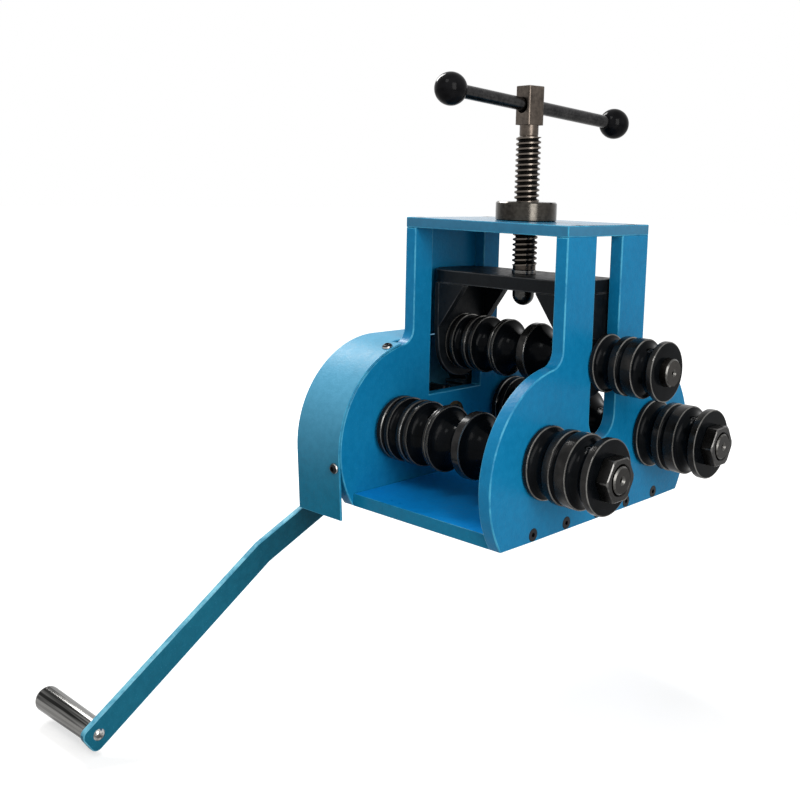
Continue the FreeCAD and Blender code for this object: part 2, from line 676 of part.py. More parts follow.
# Carriage plate: runs in the left plate's slot, hangs from the feed screw.
carriage = new_body("carriage_plate", z="carriage_low")
carriage_face = new_sketch(carriage, "XY_Plane")
inset = "(carriage_left - carriage_corner)"
half_flat = "(carriage_half - carriage_corner)"
outline(carriage_face, [
    (less(inset), "-carriage_half"), ("carriage_right", "-carriage_half"), ("carriage_right", "carriage_half"),
    (less(inset), "carriage_half"), ("-carriage_left", half_flat), ("-carriage_left", less(half_flat))],
    {3: (less(inset), half_flat, "left"), 5: (less(inset), less(half_flat), "left")})
ring(carriage_face, "0", "0", "journal_rim + run_fit")
pad(carriage, carriage_face, "carriage_thick")
node(carriage, "carriage_plate")

# End plates: flat plates welded under the carriage plate, round below, bored for the upper bushes.
# The right one carries a round boss that runs in the right plate's slot.
reach = "sqrt(end_half^2 + (gusset_low - upper_high)^2)"
fall = "(atan((gusset_low - upper_high) / end_half) - acos(end_rim / %s))" % reach
touch = ("(end_rim * cos(%s))" % fall, "upper_high + end_rim * sin(%s)" % fall)
end_points = [("end_half", "carriage_low"), (less("end_half"), "carriage_low"), (less("end_half"), "gusset_low"),
              (less(touch[0]), touch[1]), touch, ("end_half", "gusset_low")]
end_left = new_body("carriage_end_left", "-carriage_right")
end_right = new_body("carriage_end_right", "carriage_right - end_thick")
for end in (end_left, end_right):
    drawn = new_sketch(end, "YZ_Plane")
    outline(drawn, end_points, {3: ("0", "upper_high", "left")})
    ring(drawn, "0", "upper_high", "upper_bush + seat_fit")
    pad(end, drawn, "end_thick")
boss = new_sketch(end_right, "YZ_Plane", "end_thick")
ring(boss, "0", "upper_high", "boss_rim")
ring(boss, "0", "upper_high", "upper_bush + seat_fit")
pad(end_right, boss, "boss_end - carriage_right")
node(end_left, "carriage_end_left")
node(end_right, "carriage_end_right")

# Gussets: four flat webs between carriage plate and end plates, cut to a V in the middle.
for side, word in SIDES:
    for way, hand in ((-1, "left"), (1, "right")):
        name = "gusset_%s_%s" % (word, hand)
        web = new_body(name, y=signed(side, "end_half - gusset_thick / 2"))
        drawn = new_sketch(web, "XZ_Plane")
        corners = [("gusset_foot", "carriage_low"), ("gusset_foot", "carriage_low - gusset_lip"),
                   ("gusset_waist", "gusset_low"), ("end_in", "gusset_low"), ("end_in", "carriage_low")]
        outline(drawn, [(signed(way, x), z) for x, z in corners])
        pad(web, drawn, "gusset_thick", middle=True)
        node(web, name)

# Bushes of the upper shaft, plain sleeves in the end plates.
for name, start, stop in (("upper_bush_left", "-carriage_right", "-end_in"),
                          ("upper_bush_right", "end_in", "boss_end")):
    sleeve = spin_x(name, steps([(start, "upper_bush"), (stop, "0")], "axle_thin + run_fit"), z="upper_high")
    node(sleeve, name)

# Feed screw: threaded stem with a collar over the thrust ring, a journal in the carriage plate, a stud
# for the domed nut, and above a neck and a square head with rounded corners and the bar's cross hole.
stem = spin_z("screw_stem", [
    ("0", "stud_low"), ("stud_rim", "stud_low"), ("stud_rim", "shoulder"), ("journal_rim", "shoulder"),
    ("journal_rim", "collar_low"), ("collar_rim", "collar_low"), ("collar_rim", "thread_low"),
    ("thread_rim", "thread_low"), ("thread_rim", "thread_top"), ("neck_rim", "thread_top"),
    ("neck_rim", "head_low + head_half"), ("0", "head_low + head_half")])
head = new_body("screw_head", turn=FreeCAD.Rotation(AXIS_Z, num("bar_angle")))
head_face = new_sketch(head, "XY_Plane", "head_low")
flat_end = "sqrt(head_rim^2 - head_half^2)"
corners = [("head_half", less(flat_end)), ("head_half", flat_end), (flat_end, "head_half"),
           (less(flat_end), "head_half"), (less("head_half"), flat_end), (less("head_half"), less(flat_end)),
           (less(flat_end), less("head_half")), (flat_end, less("head_half"))]
outline(head_face, corners, {side: ("0", "0", "left") for side in (1, 3, 5, 7)})
pad(head, head_face, "head_top - head_low")
cross = new_sketch(head, "YZ_Plane")
ring(cross, "0", "bar_high", "bar_hole")
pierce(head, cross, "4 * head_rim")
node(fuse("lead_screw", [stem, head]), "lead_screw")

# Thrust ring, retaining washer and domed nut on the feed screw.
thrust = spin_z("thrust_ring", [
    ("journal_rim + seat_fit", "carriage_top + face_gap"), ("ring_rim", "carriage_top + face_gap"),
    ("ring_rim", "collar_low"), ("journal_rim + seat_fit", "collar_low")])
node(thrust, "thrust_ring")
washer = spin_z("retaining_washer", [
    ("stud_rim + screw_play", "washer_low"), ("washer_rim", "washer_low"), ("washer_rim", "shoulder"),
    ("stud_rim + screw_play", "shoulder")])
node(washer, "retaining_washer")
dome_nut = spin_z("retaining_nut", [
    ("0", "dome_low"), ("dome_rim", "dome_low + dome_rim"), ("dome_rim", "washer_low"),
    ("stud_rim + screw_play", "washer_low"), ("stud_rim + screw_play", "stud_low - screw_play"),
    ("0", "stud_low - screw_play")], {0: ("0", "dome_low + dome_rim", "left")})
node(dome_nut, "retaining_nut")

# T-bar: a loose round bar through the screw's head with turned-down ends in two balls.
# It lies tilted in its hole, near end up.
bar_pose = FreeCAD.Rotation(num("bar_angle"), num("-bar_tilt"), 0)
bar_cuts = [("-bar_far + knob_seat - bar_pin_long", "bar_pin"), ("-bar_far + knob_seat", "bar_rim"),
            ("bar_near - " + "knob_seat", "bar_pin"), ("bar_near - knob_seat + bar_pin_long", "0")]
node(spin_x("t_bar", steps(bar_cuts), z="bar_high", turn=bar_pose), "t_bar")
for name, middle, way in (("knob_near", "bar_near", 1), ("knob_far", "-bar_far", -1)):
    seat_at = "%s - %d * knob_seat" % (middle, way)
    points = [(seat_at, "bar_pin + seat_fit"), (seat_at, "bar_rim"), ("%s + %d * knob_rim" % (middle, way), "0"),
              (middle, "0"), (middle, "bar_pin + seat_fit")]
    turning = "right" if way > 0 else "left"
    ball = spin_x(name, points, {1: (middle, "0", turning)}, z="bar_high", turn=bar_pose)
    node(ball, name)

# Lower shafts: stepped and threaded at both ends, fat between the gear and the outboard roller.
# Each turns in its two bushes.
lower_cuts = [("-axle_left", "axle_thread"), ("-gear_to + face_gap", "axle_thin"),
              ("-gear_from", "axle_fat"), ("axle_shoulder", "axle_thin"),
              ("outer_lower_to - face_gap", "axle_thread"), ("axle_right", "0")]
for side, word in SIDES:
    shaft = spin_x(word + "_shaft", steps(lower_cuts), y=signed(side, "axle_reach"), z="axle_high")
    node(shaft, word + "_shaft")
upper_cuts = [("-upper_left", "axle_thin"), ("upper_right", "0")]
node(spin_x("upper_shaft", steps(upper_cuts), z="upper_high"), "upper_shaft")


# Rollers: turned steel with round grooves for pipe, two between the side plates on each shaft and one
# outboard. A grub screw in a groove holds each on its shaft.
def roller(name, start, stop, rim, bore, grooves, deepest, y, z, hold_groove):
    points = [(start, bore + " + seat_fit"), (start, rim)]
    arcs = {}
    for groove_from, wide in grooves:
        half = num("(%s) / 2" % wide)
        deep = "min(%s / 2; %s)" % (wide, deepest)
        arc_rim = "(((%s) / 2)^2 + (%s)^2) / (2 * %s)" % (wide, deep, deep)
        arcs[len(points)] = ("%s + %s / 2" % (groove_from, wide), "%s - %s + %s" % (rim, deep, arc_rim), "left")
        points.append((groove_from, rim))
        points.append(("%s + %s" % (groove_from, wide), rim))
    points.append((stop, rim))
    points.append((stop, bore + " + seat_fit"))
    blank = spin_x(name + "_blank", points, arcs, y=y, z=z)
    middle = "%s + %s / 2" % hold_groove
    hole = grub(name + "_hole", "grub_rim + screw_play", "0", rim, middle, y, z)
    node(cut(name, blank, [hole]), name)


def grub(name, radius, start, stop, x, y, z):
    """A bar leaning forward out of a shaft, from one distance off its axis to another."""
    lean = math.radians(num("grub_lean"))
    aim = FreeCAD.Vector(0, -math.sin(lean), math.cos(lean))
    foot_y = "%s - (%s) * sin(grub_lean)" % (y, start)
    foot_z = "%s + (%s) * cos(grub_lean)" % (z, start)
    return peg(name, radius, "%s - (%s)" % (stop, start), x, foot_y, foot_z, aim)


LEFT_GROOVES = [("groove_%s_from" % mark, "groove_%s_wide" % mark) for mark in "abcd"]
RIGHT_GROOVES = [("groove_%s_from" % mark, "groove_%s_wide" % mark) for mark in "ef"]
OUTER_GROOVES = [("outer_%s_from" % mark, "outer_%s_wide" % mark) for mark in "abc"]


def shaft_set(word, y, z, ends, rim, bore, deepest, outer_to, outer_rim):
    roller(word + "_inner_roller_a", less(ends), "roller_split", rim, bore, LEFT_GROOVES, deepest, y, z,
           LEFT_GROOVES[3])
    roller(word + "_inner_roller_b", "roller_split", ends, rim, bore, RIGHT_GROOVES, deepest, y, z,
           RIGHT_GROOVES[1])
    roller(word + "_outer_roller", "outer_from", outer_to, outer_rim, "axle_thin", OUTER_GROOVES,
           "outer_deepest", y, z, OUTER_GROOVES[2])
    screws = []
    for mark, groove, limit, top, foot in (
            ("a", LEFT_GROOVES[3], deepest, rim, bore), ("b", RIGHT_GROOVES[1], deepest, rim, bore),
            ("c", OUTER_GROOVES[2], "outer_deepest", outer_rim, "axle_thin")):
        floor = "%s - min(%s / 2; %s) - grub_sink" % (top, groove[1], limit)
        middle = "%s + %s / 2" % groove
        screws.append(grub("%s_grub_%s" % (word, mark), "grub_rim", foot + " + seat_fit", floor, middle, y, z))
    node(group(word + "_grub_screws", screws), word + "_grub_screws")


for side, word in SIDES:
    shaft_set(word, signed(side, "axle_reach"), "axle_high", "roller_end", "lower_rim", "axle_fat",
              "lower_deepest", "outer_lower_to", "outer_lower_rim")
shaft_set("upper", "0", "upper_high", "upper_end", "upper_rim", "axle_thin", "upper_deepest",
          "outer_upper_to", "outer_upper_rim")


# Hexagon nuts: right nuts and gear nuts on the lower shafts, hub nut on the crank.
def hexagon(name, half, bore, thick, x, y, z, turn=None):
    body = new_body(name, x, y, z, turn)
    drawn = new_sketch(body, "YZ_Plane")
    corner = "(%s / cos(30))" % half
    outline(drawn, [(corner, "0"), (corner + " / 2", half), (less(corner) + " / 2", half), (less(corner), "0"),
                    (less(corner) + " / 2", less(half)), (corner + " / 2", less(half))])
    ring(drawn, "0", "0", bore + " + screw_play")
    pad(body, drawn, thick)
    return node(body, name)


for side, word in SIDES:
    y = signed(side, "axle_reach")
    hexagon(word + "_nut", "nut_half", "axle_thread", "nut_thick", "outer_lower_to", y, "axle_high")
    hexagon(word + "_gear_nut", "nut_half", "axle_thread", "gear_nut_thick",
            "-gear_to - gear_nut_thick", y, "axle_high")


# Gears: involute teeth, worked out from tooth number, module and pressure angle. Each flank is the arc
# through three points of its involute. The teeth stand upright to the X axis.
def involute_point(base, radius, turned, hand):
    """Point of an involute at a radius; turned is the angle at which the involute leaves its base circle."""
    roll = math.sqrt(max((radius / base) ** 2 - 1, 0))
    angle = turned + hand * (roll - math.atan(roll))
    return FreeCAD.Vector(0, radius * math.cos(angle), radius * math.sin(angle))


def toothed_wheel(teeth, wide, bore, first_turn):
    module = num("tooth_module")
    pressure = math.radians(num("tooth_pressure"))
    pitch = module * teeth / 2
    base = pitch * math.cos(pressure)
    tip = pitch + module
    root = pitch - 1.25 * module
    half_tooth = (math.pi * module / 2 - num("tooth_slack")) / 2 / pitch
    half_base = half_tooth + math.tan(pressure) - pressure
    low = max(root, base)
    edges = []
    for number in range(teeth):
        middle = first_turn + number * 2 * math.pi / teeth
        following = middle + 2 * math.pi / teeth
        radii = (low, (low + tip) / 2, tip)
        rising = [involute_point(base, radius, middle - half_base, 1) for radius in radii]
        falling = [involute_point(base, radius, middle + half_base, -1) for radius in reversed(radii)]
        next_foot = involute_point(base, low, following - half_base, 1)
        crest = FreeCAD.Vector(0, tip * math.cos(middle), tip * math.sin(middle))
        gap_middle = (middle + following) / 2
        valley = FreeCAD.Vector(0, root * math.cos(gap_middle), root * math.sin(gap_middle))
        edges.append(Part.Arc(*rising).toShape())
        edges.append(Part.Arc(rising[2], crest, falling[0]).toShape())
        edges.append(Part.Arc(*falling).toShape())
        floor_start, floor_stop = falling[2], next_foot
        if low > root:
            floor_start = FreeCAD.Vector(falling[2]).multiply(root / low)
            floor_stop = FreeCAD.Vector(next_foot).multiply(root / low)
            edges.append(Part.LineSegment(falling[2], floor_start).toShape())
        edges.append(Part.Arc(floor_start, valley, floor_stop).toShape())
        if low > root:
            edges.append(Part.LineSegment(floor_stop, next_foot).toShape())
    wires = [Part.Wire(edges)]
    if bore > 0:
        wires.append(Part.Wire(Part.makeCircle(bore, FreeCAD.Vector(), AXIS_X)))
    return Part.Face(wires, "Part::FaceMakerBullseye").extrude(AXIS_X * wide)


half_step = math.pi / num("gear_teeth")
for side, word in SIDES:
    wheel = doc.addObject("Part::Feature", word + "_gear")
    wheel.Shape = toothed_wheel(int(num("gear_teeth")), num("gear_wide"), num("axle_thin + seat_fit"), half_step)
    place(wheel, "-gear_to", signed(side, "axle_reach"), "axle_high")
    node(wheel, word + "_gear")

# Crank shaft: turned, with the pinion cut on it, two flats for the arm and a threaded end.
crank_cuts = [("-crank_tip", "crank_stud"), ("-arm_from - arm_thick + 4 * face_gap", "crank_rim"),
              ("-crank_collar_end", "crank_collar"), ("-pinion_to", "crank_rim"), ("-crank_from", "0")]
turned_crank = spin_x("crank_turned", steps(crank_cuts), z="axle_high")
pinion = doc.addObject("Part::Feature", "pinion")
pinion.Shape = toothed_wheel(int(num("pinion_teeth")), num("pinion_wide"), 0, 0)
place(pinion, "-pinion_to", z="axle_high")
crank_blank = fuse("crank_blank", [turned_crank, pinion])
flats = []
for way, word in ((-1, "lower"), (1, "upper")):
    shaving = doc.addObject("PartDesign::Body", "flat_" + word)
    drawn = new_sketch(shaving, "YZ_Plane")
    near, far = signed(way, "crank_flat"), signed(way, "2 * crank_flat")
    outline(drawn, [("-2 * crank_rim", near), ("2 * crank_rim", near), ("2 * crank_rim", far), ("-2 * crank_rim", far)])
    pad(shaving, drawn, "crank_tip - arm_from")
    place(shaving, "-crank_tip", z="axle_high", turn=FreeCAD.Rotation(AXIS_X, num("crank_lean")))
    flats.append(shaving)
node(cut("crank_shaft", crank_blank, flats), "crank_shaft")

# Crank arm: flat bar, stepped outward past the cover, round at the hub and square with rounded corners at
# the far end, with a double-flat hole at the hub and a riveted spindle at the far end.
arm_turn = FreeCAD.Rotation(AXIS_X, num("crank_lean"))
arm_side = new_body("arm_side")
side_face = new_sketch(arm_side, "XY_Plane")
ease = "arm_thick * tan(atan(arm_step / (arm_step_to - arm_step_from)) / 2)"
outline(side_face, [
    ("-arm_from", "arm_half"), ("-arm_from", "-arm_step_from"), ("-arm_out", "-arm_step_to"),
    ("-arm_out", "-arm_long - arm_half"), (less("arm_out + arm_thick"), "-arm_long - arm_half"),
    (less("arm_out + arm_thick"), "-arm_step_to + " + ease), ("-arm_from - arm_thick", "-arm_step_from + " + ease),
    ("-arm_from - arm_thick", "arm_half")])
pad(arm_side, side_face, "2 * arm_half", middle=True)
arm_front = new_body("arm_front", less("arm_out + 2 * arm_thick"))
front_face = new_sketch(arm_front, "YZ_Plane")
corner_x, corner_y = "(arm_corner - arm_long - arm_half)", "(arm_half - arm_corner)"
outline(front_face, [
    (corner_x, "-arm_half"), ("0", "-arm_half"), ("0", "arm_half"), (corner_x, "arm_half"),
    ("-arm_long - arm_half", corner_y), ("-arm_long - arm_half", less(corner_y))],
    {1: ("0", "0", "left"), 3: (corner_x, corner_y, "left"), 5: (corner_x, less(corner_y), "left")})
ring(front_face, "-arm_long", "0", "rivet_rim + seat_fit")
hole_rim, hole_flat = "(crank_rim + run_fit)", "(crank_flat + run_fit)"
hole_end = "sqrt(%s^2 - %s^2)" % (hole_rim, hole_flat)
outline(front_face, [(hole_end, hole_flat), (less(hole_end), hole_flat), (less(hole_end), less(hole_flat)),
                     (hole_end, less(hole_flat))], {1: ("0", "0", "left"), 3: ("0", "0", "left")})
pad(arm_front, front_face, "arm_step + 3 * arm_thick")
arm = doc.addObject("Part::Common", "crank_arm")
arm.Base = arm_side
arm.Tool = arm_front
place(arm, z="axle_high", turn=arm_turn)
node(arm, "crank_arm")
hexagon("crank_nut", "crank_nut_half", "crank_stud", "crank_nut_thick", "-arm_from - arm_thick - crank_nut_thick",
        "0", "axle_high", arm_turn)

# Spindle riveted into the arm, domed on the inner face, and the steel grip that turns on it.
GRIP_Y = "-arm_long * cos(crank_lean)"
GRIP_Z = "axle_high - arm_long * sin(crank_lean)"
dome_ball = "((dome_head^2 + dome_head_tall^2) / (2 * dome_head_tall))"
spindle = spin_x("grip_bolt", [
    (less("arm_far + spindle_long"), "0"), (less("arm_far + spindle_long"), "spindle_rim"),
    ("-arm_far", "spindle_rim"), ("-arm_far", "rivet_rim"), ("-arm_out", "rivet_rim"),
    ("-arm_out", "dome_head"), ("-arm_out + dome_head_tall", "0")],
    {5: ("-arm_out + dome_head_tall - " + dome_ball, "0", "right")}, y=GRIP_Y, z=GRIP_Z)
node(spindle, "grip_bolt")
BORE_END = less("arm_far + spindle_long + grip_gap")
slope = "(grip_fat - grip_thin) / grip_long"
grip = spin_x("grip", [
    ("-grip_to", "0"), ("-grip_to", "grip_fat - grip_round"), ("-grip_to" + " + grip_round", "grip_fat"),
    ("-grip_from", "grip_thin"), ("-grip_from", "spindle_rim + run_fit"),
    (BORE_END, "spindle_rim + run_fit"), (BORE_END, "0")],
    {1: ("-grip_to" + " + grip_round", "grip_fat - grip_round", "right")}, y=GRIP_Y, z=GRIP_Z)
node(grip, "grip")

doc.recompute()

os.makedirs("parts", exist_ok=True)
for thing in doc.Objects:
    if "Invalid" in thing.State or "Error" in thing.State:
        raise RuntimeError("not built: %s %s" % (thing.Name, thing.State))
for piece in NODES:
    if piece.Shape.isNull() or not piece.Shape.isValid() or not piece.Shape.Solids:
        raise RuntimeError("bad shape: " + piece.Label)
for piece in NODES:
    piece.Shape.exportStep("parts/%s.step" % piece.Label)
    box = piece.Shape.BoundBox
    print("%-22s solids %d faces %3d volume %9.0f  x %7.1f %7.1f  y %7.1f %7.1f  z %7.1f %7.1f" % (
        piece.Label, len(piece.Shape.Solids), len(piece.Shape.Faces), piece.Shape.Volume,
        box.XMin, box.XMax, box.YMin, box.YMax, box.ZMin, box.ZMax))
print(len(NODES), "pieces")
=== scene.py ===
import math

import bmesh
import bpy
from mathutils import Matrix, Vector


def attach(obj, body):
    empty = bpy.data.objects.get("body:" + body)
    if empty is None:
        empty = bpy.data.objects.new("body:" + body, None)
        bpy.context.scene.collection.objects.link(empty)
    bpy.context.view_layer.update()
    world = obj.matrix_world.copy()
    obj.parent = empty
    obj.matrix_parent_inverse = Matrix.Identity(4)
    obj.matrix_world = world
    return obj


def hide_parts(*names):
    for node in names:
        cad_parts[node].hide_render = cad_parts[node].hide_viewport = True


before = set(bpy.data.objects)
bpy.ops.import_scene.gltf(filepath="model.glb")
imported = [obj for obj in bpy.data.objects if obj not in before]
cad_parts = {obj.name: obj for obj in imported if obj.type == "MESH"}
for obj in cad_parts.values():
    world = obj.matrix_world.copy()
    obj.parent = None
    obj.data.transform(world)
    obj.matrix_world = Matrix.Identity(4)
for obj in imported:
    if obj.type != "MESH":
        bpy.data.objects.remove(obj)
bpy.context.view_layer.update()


# Side plates: two steel plates cut with round lobes over the lower shafts, their edges broken by hand,
# under a satin blue enamel. The base plate is screwed between them and the top plate over them.
class Tap:
    """An outlet of a node that writes Math nodes when it is added, taken away or multiplied."""

    def __init__(self, finish, socket):
        self.finish = finish
        self.socket = socket

    def maths(self, operation, first, second=0.0):
        return self.finish.node("ShaderNodeMath", {"operation": operation}, {0: first, 1: second})

    def __add__(self, other):
        return self.maths("ADD", self, other)

    __radd__ = __add__

    def __sub__(self, other):
        return self.maths("SUBTRACT", self, other)

    def __rsub__(self, other):
        return self.maths("SUBTRACT", other, self)

    def __mul__(self, other):
        return self.maths("MULTIPLY", self, other)

    __rmul__ = __mul__

    def __pow__(self, other):
        return self.maths("POWER", self, other)


class Finish:
    """A paint, a metal or the studio's sky under way: its node tree and the one way to put a node in it."""

    def __init__(self, name, home=None):
        self.home = home or bpy.data.materials.new(name)
        self.home.use_nodes = True
        self.tree = self.home.node_tree
        self.tree.nodes.clear()
        self.spot = None if home else self.node("ShaderNodeTexCoord", out="Object")

    def node(self, kind, settings=None, values=None, out=0):
        made = self.tree.nodes.new(kind)
        for word, setting in (settings or {}).items():
            setattr(made, word, setting)
        for key, value in (values or {}).items():
            if isinstance(value, Tap):
                self.tree.links.new(value.socket, made.inputs[key])
            else:
                made.inputs[key].default_value = value
        return Tap(self, made.outputs[out]) if len(made.outputs) else None

    def axes(self):
        """The place on the piece along X, Y and Z, in metres."""
        parts = self.node("ShaderNodeSeparateXYZ", {}, {0: self.spot}).socket.node.outputs
        return [Tap(self, part) for part in parts]

    def between(self, value, low, high):
        """0 below low, 1 above high, soft in between."""
        return self.node("ShaderNodeMapRange", {"interpolation_type": "SMOOTHSTEP"},
                         {"Value": value, "From Min": low, "From Max": high})

    def cloud(self, size, stretch=(1, 1, 1), detail=2.0, low=0.32, high=0.68):
        """Soft random patches, 0 to 1, of about this size in metres."""
        scale = tuple(1 / (size * long) for long in stretch)
        spread = self.node("ShaderNodeMapping", {}, {"Vector": self.spot, "Scale": scale})
        noise = self.node("ShaderNodeTexNoise", {}, {"Vector": spread, "Scale": 1.0, "Detail": detail})
        return self.between(noise, low, high)

    def shade(self, share, first, second):
        """One colour going over into another."""
        return self.node("ShaderNodeMix", {"data_type": "RGBA"},
                         {0: share, 6: (*first, 1) if isinstance(first, tuple) else first,
                          7: (*second, 1) if isinstance(second, tuple) else second}, out=2)

    def surface(self, colour, roughness, grain, depth, plain):
        """Close the finish; grain is a height pattern, depth its height in metres, and plain holds what is
        the same all over."""
        bump = self.node("ShaderNodeBump", {}, {"Height": grain, "Distance": depth, "Strength": 1.0})
        values = {"Base Color": colour, "Roughness": roughness, "Normal": bump, **plain}
        shader = self.node("ShaderNodeBsdfPrincipled", {}, values)
        self.node("ShaderNodeOutputMaterial", {}, {"Surface": shader})
        return self.home


def off_axis(first, second, across=0.0, up=0.0):
    """How far a place is from an axis that stands at across and up, which are in millimetres."""
    return ((first - across / 1000) ** 2.0 + (second - up / 1000) ** 2.0) ** 0.5


def orange_peel(paint, mottle, size=0.0022, share=0.35):
    """The fine waves of a sprayed coat, with its mottle."""
    return paint.cloud(size, detail=1.0, low=0.0, high=1.0) + mottle * share


def blue_enamel(name, dark=(0.003, 0.145, 0.31), light=(0.006, 0.18, 0.37), gloss=0.1, rough=0.27,
                ripple=0.00011, shadow_reach=None):
    """Sprayed satin enamel: broad drifts of thicker paint, fine mottle and a little orange peel. A painted
    shadow can darken it round the crank shaft, fully up to one distance and a little up to another."""
    paint = Finish(name)
    drift = paint.cloud(0.11, detail=3.0)
    mottle = paint.cloud(0.007, detail=3.0)
    pale_tint = paint.cloud(0.0016, detail=1.0, low=0.62, high=0.74)
    colour = paint.shade(drift * 0.55 + mottle * 0.45, dark, light)
    colour = paint.shade(pale_tint * 0.12, colour, (0.05, 0.33, 0.52))
    # Painted shadow: the colour goes darker toward the crank shaft's axis.
    if shadow_reach:
        x, y, z = paint.axes()
        unshadowed = paint.between(off_axis(y, z, 0, axle_up) + mottle * 0.01, *shadow_reach)
        colour = paint.shade(unshadowed, (0.001, 0.032, 0.05), colour)
    return paint.surface(colour, rough + drift * 0.08 + mottle * 0.06, orange_peel(paint, mottle), ripple,
                         {"Specular IOR Level": gloss})


def thin_enamel(name, over=(0.006, 0.17, 0.34), wear_and_highlight=(0.05, 0.32, 0.49)):
    """The same enamel where it is drawn thin over an edge and rubbed paler; the paler edge is also a painted
    highlight on the round.
    """
    paint = Finish(name)
    patch = paint.cloud(0.018, detail=4.0, low=0.36, high=0.62)
    nick = paint.cloud(0.003, detail=2.0)
    colour = paint.shade(patch * 0.7 + nick * 0.3, over, wear_and_highlight)
    return paint.surface(colour, 0.3 + nick * 0.15, nick, 0.00004, {"Specular IOR Level": 0.24})


def only(piece):
    """Make this the one selected, active object."""
    bpy.ops.object.select_all(action="DESELECT")
    piece.select_set(True)
    bpy.context.view_layer.objects.active = piece


def bare(piece, *second):
    """Clear a piece's finishes but keep room for two; the second goes on the faces that any test picks."""
    piece.data.materials.clear()
    for _ in range(2):
        piece.data.materials.append(None)
    for face in piece.data.polygons:
        face.material_index = int(any(test(face.center * 1000, face.normal) for test in second))
    return piece


def blank_of(node):
    """A copy of a CAD piece's mesh, merged, with its flat faces whole."""
    piece = bpy.data.objects.new(node + ".body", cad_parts[node].data.copy())
    bpy.context.scene.collection.objects.link(piece)
    only(bare(piece))
    bpy.ops.mesh.customdata_custom_splitnormals_clear()
    bpy.ops.object.mode_set(mode="EDIT")
    bpy.ops.mesh.select_all(action="SELECT")
    bpy.ops.mesh.remove_doubles(threshold=2e-6)
    bpy.ops.mesh.dissolve_limited(angle_limit=math.radians(0.2))
    bpy.ops.object.mode_set(mode="OBJECT")
    return piece


def break_edges(piece, width, holes=(), steps=2):
    """Round the sharp edges in millimetres, except near the holes, each a place and a reach.
    The round takes the second finish."""
    only(piece)
    bpy.ops.object.mode_set(mode="EDIT")
    bpy.ops.mesh.select_mode(type="EDGE")
    bpy.ops.mesh.select_all(action="DESELECT")
    mesh = bmesh.from_edit_mesh(piece.data)
    for edge in mesh.edges:
        if edge.is_manifold and edge.calc_face_angle(0) > math.radians(35):
            middle = (edge.verts[0].co + edge.verts[1].co) * 500
            edge.select = all((middle - Vector(spot)).length > reach for spot, reach in holes)
    mesh.select_flush_mode()
    bmesh.update_edit_mesh(piece.data)
    bpy.ops.mesh.bevel(offset=width / 1000, segments=steps, affect="EDGES", clamp_overlap=False, material=1)
    bpy.ops.object.mode_set(mode="OBJECT")


def dress(piece, coat):
    """Give a piece its finish, or a finish for each slot that it keeps room for."""
    if isinstance(coat, tuple):
        for number, layer in enumerate(coat):
            piece.data.materials[number] = layer
    else:
        piece.data.materials.clear()
        piece.data.materials.append(coat)


def settle(piece, body, slot, coat, *nodes, sharp=32):
    """Shade the piece, give it its finish, and let it ride for the CAD nodes it stands for."""
    only(piece)
    bpy.ops.object.shade_smooth_by_angle(angle=math.radians(sharp))
    flats = piece.modifiers.new("flats", "WEIGHTED_NORMAL")
    flats.keep_sharp = True
    bpy.ops.object.modifier_apply(modifier="flats")
    dress(piece, coat)
    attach(piece, body)
    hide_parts(*nodes)


plate_inner, plate_middle, plate_outer = 84.5, 91, 97.5
post_top = 262
lobe_out, lobe_up, lobe_radius = 61.5, 54, 96
axle_out, axle_up = 85, 68.7
base_screw_up = 6
base_screw_spots = [step * 48.5 for step in (-2, -1, 0, 1, 2)]
cap_screw_out = {1: (20.2 + 64) / 2, -1: (39 + 64) / 2}
crown_lean = 18.7
edge_paint = thin_enamel("edge_enamel")
side_paint = (blue_enamel("side_plate_enamel"), edge_paint)
for way, node in ((1, "right_side_plate"), (-1, "left_side_plate")):
    plate = blank_of(node)
    faces = (way * plate_inner, way * plate_outer)
    holes = [((x, y, base_screw_up), 7.5) for x in faces for y in base_screw_spots]
    holes += [((way * plate_middle, side * cap_screw_out[way], post_top), 7.5) for side in (-1, 1)]
    holes += [((x, side * axle_out, axle_up), 19) for x in faces for side in (-1, 1)]
    if way < 0:
        tapped_out = lobe_out + lobe_radius * math.sin(math.radians(crown_lean))
        tapped_up = lobe_up + lobe_radius * math.cos(math.radians(crown_lean))
        holes += [((x, 0, axle_up), 15) for x in faces]
        for side in (-1, 1):
            holes.append(((-plate_middle, side * tapped_out, tapped_up), 5))
            holes.append(((-plate_middle, side * (lobe_out + lobe_radius), 38.5), 5))
    break_edges(plate, 1.2, holes, steps=3)
    settle(plate, "frame", "blue_paint", side_paint, node)

# Base plate: a ground steel plate between the side plates, held by five screws a side and sprayed
# with the rest of the frame; its flat top is painted brighter as light and its front and back faces darker
# as shade.
# The flat top takes a brighter copy of the enamel (painted light), the front and back faces a darker one
# (painted shade).
base_paint = (blue_enamel("base_plate_enamel", (0.002, 0.205, 0.57), (0.004, 0.25, 0.66)), edge_paint,
              blue_enamel("base_rim_painted_shade", (0.003, 0.135, 0.25), (0.005, 0.165, 0.3)))
base = blank_of("base_plate")
base_holes = [((way * plate_inner, y, base_screw_up), 4.5) for way in (-1, 1) for y in base_screw_spots]
break_edges(base, 0.9, base_holes)
# Front and back faces go to the darker third copy: painted shade.
base.data.materials.append(None)
for face in base.data.polygons:
    if abs(face.normal.y) > 0.9:
        face.material_index = 2
settle(base, "frame", "blue_paint", base_paint, "base_plate")

